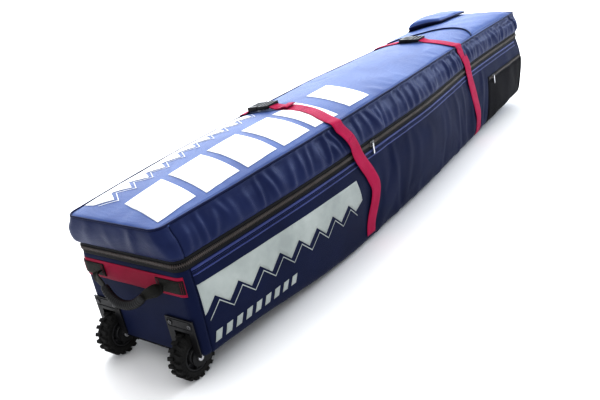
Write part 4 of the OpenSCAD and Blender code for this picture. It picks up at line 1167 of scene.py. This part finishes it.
# the flap's upper face uses the lighter navy with painted sunlight
fl = slab_obj("pocket_flap_fabric", A, B, [NAVY_SUNLIT_TOP, NAVY]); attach(fl, "flap"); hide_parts("pocket_flap")
edge = [(s_lo(y), y) for y in np.linspace(110, 34, 18)] + [(s, 30) for s in np.linspace(1503, 1697, 30)] + [(1700, y) for y in np.linspace(34, 110, 12)]
C = np.array([[s, y, float(ztop(s, y)) + 7.2 + (flap_top(s, y) - float(ztop(s, y)) - 7.2) * .42] for s, y in edge])
o = tube("pocket_flap_binding", resample(C, 130), 3.0, NAVY_BINDING_SHADE, 10, False, "flap")
hsn = np.linspace(1432, 1696, 40)
A = np.zeros((40, 9, 3))
for j, v in enumerate(np.linspace(0, 1, 9)):
    yv = 110.5 + 15 * v
    for i, s in enumerate(hsn):
        zf = float(ztop(s, 112)) + 7.2 + (flap_top(s, 112) - float(ztop(s, 112)) - 7.2) * .42
        zl = float(ztop(s, 125.5)) + 3.2
        A[i, j] = (s, yv, zf + (zl - zf) * (v ** .8))
fh = slab_obj("pocket_flap_hinge_fabric", A, A - np.array([0, 0, 1.4]), [NAVY_BINDING_SHADE])
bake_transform(fh)

# ------------------------------------------------------------------ straps
def strap_side(k, c, Hf, sgn, panel_t, panel_l):
    pass
straps = {1: dict(c=590.0, sock=112.0, tilt=7.0, tail=-15.0, side=[(30, .012), (60, .016), (110, .030), (150, .034), (200, .012), (246, -.018), (300, -.034), (336, -.044)], top=[(-160, -.044), (-120, -.034), (-60, -.008), (0, .008), (50, .004), (105, .0)]),
          2: dict(c=1255.0, sock=32.0, tilt=1.0, tail=-80.0, side=[(30, .075), (60, .075), (110, .062), (150, .048), (200, .030), (246, .016), (300, .006), (330, .000)], top=[(-144, .0), (-100, .0), (-60, .0), (0, .0), (91, .0)])}
for k, st in straps.items():
    c = st["c"]
    zs_ = [a for a, _ in st["side"]]; ds_ = [b * 1000 for _, b in st["side"]]
    ys_ = [a for a, _ in st["top"]]; dt_ = [b * 1000 for _, b in st["top"]]
    zf_ = np.arange(zs_[0], zs_[-1] + 1, 2.0)
    df_ = np.interp(zf_, zs_, ds_)
    ker = np.hanning(23); ker /= ker.sum()
    df_ = np.convolve(np.pad(df_, 11, mode="edge"), ker, mode="valid")
    zs_, ds_ = list(zf_), list(df_)
    sn, cn = math.sin(math.radians(st["tilt"])), math.cos(math.radians(st["tilt"]))
    PT, NT = [], []
    for z in np.linspace(24, 243, 46):
        P_, N_ = at("tub_front_fabric", c + float(np.interp(z, zs_, ds_)), z, 2)
        PT.append(P_ + N_ * 1.0); NT.append(N_)
    kt = len(PT)
    for z in np.linspace(250, 262, 4):
        s = c + float(np.interp(z, zs_, ds_))
        PT.append(np.array([s, -(float(hz(s)) + 4.2), z])); NT.append(np.array([0, -1.0, 0]))
    for z in np.linspace(271, float(zt(c)) - 9, 20):
        P_, N_ = at("lid_front_fabric", c + float(np.interp(z, zs_, ds_)), z, 2)
        PT.append(P_ + N_ * 1.5); NT.append(N_)
    # a taut strap bridges the hollow at the zip
    Q = np.array(PT)
    hull = []
    for z, y in zip(Q[:, 2], -Q[:, 1]):
        while len(hull) > 1 and (hull[-1][1] - hull[-2][1]) * (z - hull[-2][0]) <= (y - hull[-2][1]) * (hull[-1][0] - hull[-2][0]):
            hull.pop()
        hull.append((z, y))
    hy = np.interp(Q[:, 2], [h[0] for h in hull], [h[1] for h in hull])
    for i in range(len(PT)):
        if Q[i, 2] > 120:
            PT[i] = np.array([PT[i][0], -(.35 * -Q[i, 1] + .65 * hy[i] if abs(Q[i, 2] - 256) > 30 else hy[i]), PT[i][2]])
    w = float(wtop(c))
    zz_ = float(zt(c))
    s_ = c + dt_[0]
    PT.append(np.array([s_, -(w + 5.2), zz_ - 3])); NT.append(np.array([0, -.92, .4]))
    PT.append(np.array([s_, -(w + 2.6), zz_ + 3.2])); NT.append(np.array([0, -.6, .8]))
    PT.append(np.array([s_ + 1, -(w - 2.6), zz_ + 5.6])); NT.append(np.array([0, -.3, .95]))
    yend = st["sock"] - 21 - 30
    ztc = float(ztop(c, st["sock"] - 21)) + 3 + 2.2 + 30 * sn + 2
    for y in np.linspace(-(w - 9), yend - 22, 36):
        P_, N_ = at("lid_top_fabric", c + float(np.interp(y, ys_, dt_)), y, 1)
        PT.append(P_ + N_ * 1.8); NT.append(N_)
    PT = np.array(PT); NT = np.array(NT)
    # last points rise to the buckle bar
    last = PT[-1]
    for u in (.35, .7, 1.0):
        y = last[1] + (yend - last[1]) * u
        PT = np.vstack([PT, [[last[0] + (c - last[0]) * u, y, last[2] + (ztc - last[2]) * u]]]); NT = np.vstack([NT, [[0, 0, 1.0]]])
    # smooth a little
    for _ in range(2):
        PT[1:-1] = (PT[:-2] + 2 * PT[1:-1] + PT[2:]) / 4
        NT[1:-1] = (NT[:-2] + 2 * NT[1:-1] + NT[2:]) / 4
    n = len(PT)
    i_mid = int(np.argmin(np.abs(PT[:, 2] - 300) + (PT[:, 1] > -100) * 1e3))
    i_run = int(np.argmin(np.abs(PT[:, 1] - (st["tail"] - 32)) + (PT[:, 2] < zz_) * 1e3))
    a = ribbon("strap_%d_lower_front" % k, PT[:i_mid + 1], NT[:i_mid + 1], 38, 1.7, CRIM_W)
    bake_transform(a)
    if k == 1:
        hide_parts("strap_lower_front")
    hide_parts("strap_%d_riser" % k)
    b = ribbon("strap_%d_over_edge" % k, PT[i_mid:i_run + 1], NT[i_mid:i_run + 1], 38, 1.7, CRIM_W)
    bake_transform(b)
    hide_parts("strap_%d_run" % k)
    e = ribbon("strap_%d_tongue" % k, PT[i_run:], NT[i_run:], 38, 1.7, CRIM_W)
    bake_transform(e)
    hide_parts("strap_%d_end" % k)
    # free tail, folded back over the strap from the buckle
    if k == 1:
        K = [(yend + 4, 9.5), (yend - 8, 7), (yend - 24, 4.4), (yend - 40, 5.2), (yend - 52, 6.0), (yend - 57, 8.5), (yend - 50, 10.0), (yend - 38, 9.2)]
        C, N_ = [], []
        for y, h in K:
            s = c + float(np.interp(y, ys_, dt_))
            P_, _n = at("lid_top_fabric", s, min(y, 110), 1)
            C.append(P_ + _n * (h)); N_.append(_n)
        C = curve(np.array(C), np.linspace(0, 1, 40))
        T = np.gradient(C, axis=0); T /= np.linalg.norm(T, axis=1, keepdims=True)
        X_ = np.array([1.0, 0, 0])
        Nn = np.cross(X_, T) * -1
        Nn = np.array([q if True else q for q in np.cross(T, X_) * -1])
        if Nn[5][2] < 0:
            Nn = -Nn
        tl = ribbon("strap_1_tail", C, Nn, 38, 1.7, CRIM_W, "strap1_end")
    # rear length: up the back of the tub, over the hinge, over the lid's back edge to the socket
    PR, NR = [], []
    for z in np.linspace(24, 242, 40):
        P_, N_ = at("tub_rear_fabric", c, z, 2)
        PR.append(P_ + N_ * 1.0); NR.append(N_)
    for z in np.linspace(248, 263, 5):
        PR.append(np.array([c, float(hr(c)) + 4.0, z])); NR.append(np.array([0, 1.0, 0]))
    for z in np.linspace(272, float(zt(c)) - 9, 18):
        P_, N_ = at("lid_rear_fabric", c, z, 2)
        PR.append(P_ + N_ * 1.5); NR.append(N_)
    PR.append(np.array([c, w + 5.0, zz_ - 3])); NR.append(np.array([0, .92, .4]))
    PR.append(np.array([c, w + 2.4, zz_ + 3.2])); NR.append(np.array([0, .6, .8]))
    PR.append(np.array([c, w - 3.0, zz_ + 6.2])); NR.append(np.array([0, .3, .95]))
    ysock = st["sock"] - 21 + 30
    zsock = float(ztop(c, st["sock"] - 21)) + 3 - 30 * sn + 3.2
    for y in np.linspace(w - 9, ysock + 16, max(2, int((w - 25 - ysock) / 4))):
        P_, N_ = at("lid_top_fabric", c, y, 1)
        PR.append(P_ + N_ * 1.8); NR.append(N_)
    last = np.array(PR[-1])
    for u in (.5, 1.0):
        PR.append(last + (np.array([c, ysock, zsock]) - last) * u); NR.append(np.array([0, .05, 1.0]))
    PR = np.array(PR); NR = np.array(NR)
    for _ in range(2):
        PR[1:-1] = (PR[:-2] + 2 * PR[1:-1] + PR[2:]) / 4
        NR[1:-1] = (NR[:-2] + 2 * NR[1:-1] + NR[2:]) / 4
    r = ribbon("strap_%d_rear" % k, PR, NR, 38, 1.7, CRIM_W)
    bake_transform(r)
    if k == 1:
        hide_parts("strap_lower_rear", "strap_rear_upper")
    bevel_copy("buckle_plug_%d" % k, "buckle_plug_moulded_%d" % k, BUCK, "strap%d_end" % k, .0011, 3)
bevel_copy("buckle_sockets", "buckle_sockets_moulded", BUCK, "lid", .0014, 3)
for k, st in straps.items():
    yb, zb_ = st["sock"] - 21, float(ztop(st["c"], st["sock"] - 21)) + 3
    ca, sa = math.cos(math.radians(st["tilt"])), math.sin(math.radians(st["tilt"]))
    items = []
    for q in range(4):
        yl, zl = 9 + q * 4.4, 11.2
        items.append((np.array([st["c"], yb + yl * ca + zl * sa, zb_ + zl * ca - yl * sa]), np.array([11.0, 0, 0]), np.array([0, ca, -sa]) * .9, np.array([0, sa, ca]) * .8))
    o = boxes("buckle_ribs_%d" % k, items, BUCK, "lid")

# ------------------------------------------------------------------ far handle, sliders, remaining hard parts
K = np.array([[1762.6, -88, 319], [1763.2, -88, 311], [1764.0, -84, 300], [1764.8, -76, 289], [1765.2, -62, 284], [1765.4, 0, 283], [1765.2, 62, 284], [1764.8, 76, 289], [1764.0, 84, 300], [1763.2, 88, 311], [1762.6, 88, 319]], float)
C = curve(K, np.linspace(0, 1, 90))
T = np.gradient(C, axis=0); T /= np.linalg.norm(T, axis=1, keepdims=True)
o = ribbon("far_handle_webbing", C, np.tile([1.0, 0, 0], (90, 1)), 24, 2.0, BLACK_W, "far_grab", lift=-1.0)
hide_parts("far_handle")
C2 = C[24:66] + np.array([1.6, 0, 0])
o = ribbon("far_handle_wrap", C2, np.tile([1.0, 0, 0], (len(C2), 1)), 27, 3.2, BLACK_F, "far_grab", lift=-1.6)
bevel_copy("far_handle_anchors", "far_handle_anchor_tabs", BLACK_W, "lid", .0006, 2)
bevel_copy("main_slider", "main_slider_body", GUN, "main_zip_slider", .0005, 2)
bevel_copy("main_pull", "main_pull_tab", PULLM, "main_zip_pull", .0004, 2)
bevel_copy("pocket_slider", "pocket_slider_body", GUN, "pocket_zip_slider", .0004, 2)
bevel_copy("pocket_pull", "pocket_pull_tab", PULLM, "pocket_zip_pull", .0004, 2)
for nname, mm in (("base_board", BOARD), ("wheel_end_board", BOARD)):
    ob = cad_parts[nname]
    for sl in ob.material_slots:
        sl.material = mm

# ------------------------------------------------------------------ floor, light
fl_me = bpy.data.meshes.new("floor")
fl_me.from_pydata([(-40, -40, 0), (40, -40, 0), (40, 40, 0), (-40, 40, 0)], [], [(0, 1, 2, 3)])
floor = bpy.data.objects.new("floor", fl_me)
sc.collection.objects.link(floor)
floor.location.z = -0.0008
fm_, nt, b = mat("pale_floor")
nt.links.new(colour_noise(nt, coords(nt), 1.2, (0.90, 0.90, 0.90), (0.93, 0.93, 0.93)), b.inputs["Base Color"])
setp(b, Roughness=.9, Specular_IOR_Level=.2)
fl_me.materials.append(fm_)
wd = bpy.data.worlds.new("world"); sc.world = wd; wd.use_nodes = True
wn = wd.node_tree
sx = wn.nodes.new("ShaderNodeSeparateXYZ")
wn.links.new(wn.nodes.new("ShaderNodeTexCoord").outputs["Generated"], sx.inputs[0])
wr = wn.nodes.new("ShaderNodeValToRGB")
wr.color_ramp.elements[0].position, wr.color_ramp.elements[0].color = 0.02, (.50, .53, .58, 1)
wr.color_ramp.elements[1].position, wr.color_ramp.elements[1].color = 0.9, (1.0, 1.0, 1.0, 1)
wn.links.new(sx.outputs["Z"], wr.inputs["Fac"])
wn.links.new(wr.outputs["Color"], wn.nodes["Background"].inputs[0])
wn.nodes["Background"].inputs[1].default_value = 1.35
def area(name, loc, target, size, size_y, power, colour=(1, 1, 1)):
    l = bpy.data.lights.new(name, "AREA"); l.shape = "RECTANGLE"; l.size, l.size_y = size, size_y; l.energy = power; l.color = colour
    o = bpy.data.objects.new(name, l); sc.collection.objects.link(o)
    o.location = loc
    o.rotation_mode = "QUATERNION"
    o.rotation_quaternion = (Vector(target) - Vector(loc)).to_track_quat("-Z", "Y")
    o.visible_camera = False
    return o
area("back_light", (2.6, 2.6, 1.5), (0, 0, .3), 5.0, 1.8, 110, (.90, .95, 1))
area("top_light", (.6, .9, 3.0), (0, 0, .2), 2.5, 2.5, 70)
area("side_rake", (3.2, -1.7, 1.7), (.1, -.18, .24), .8, .8, 62, (.85, .92, 1))
area("front_fill", (-2.6, -2.4, 1.6), (-.3, 0, .2), 2.2, 1.4, 14)
sc.view_settings.view_transform = "Standard"
sc.view_settings.look = "None"
sc.view_settings.exposure = 0.0
sc.view_settings.gamma = 0.78
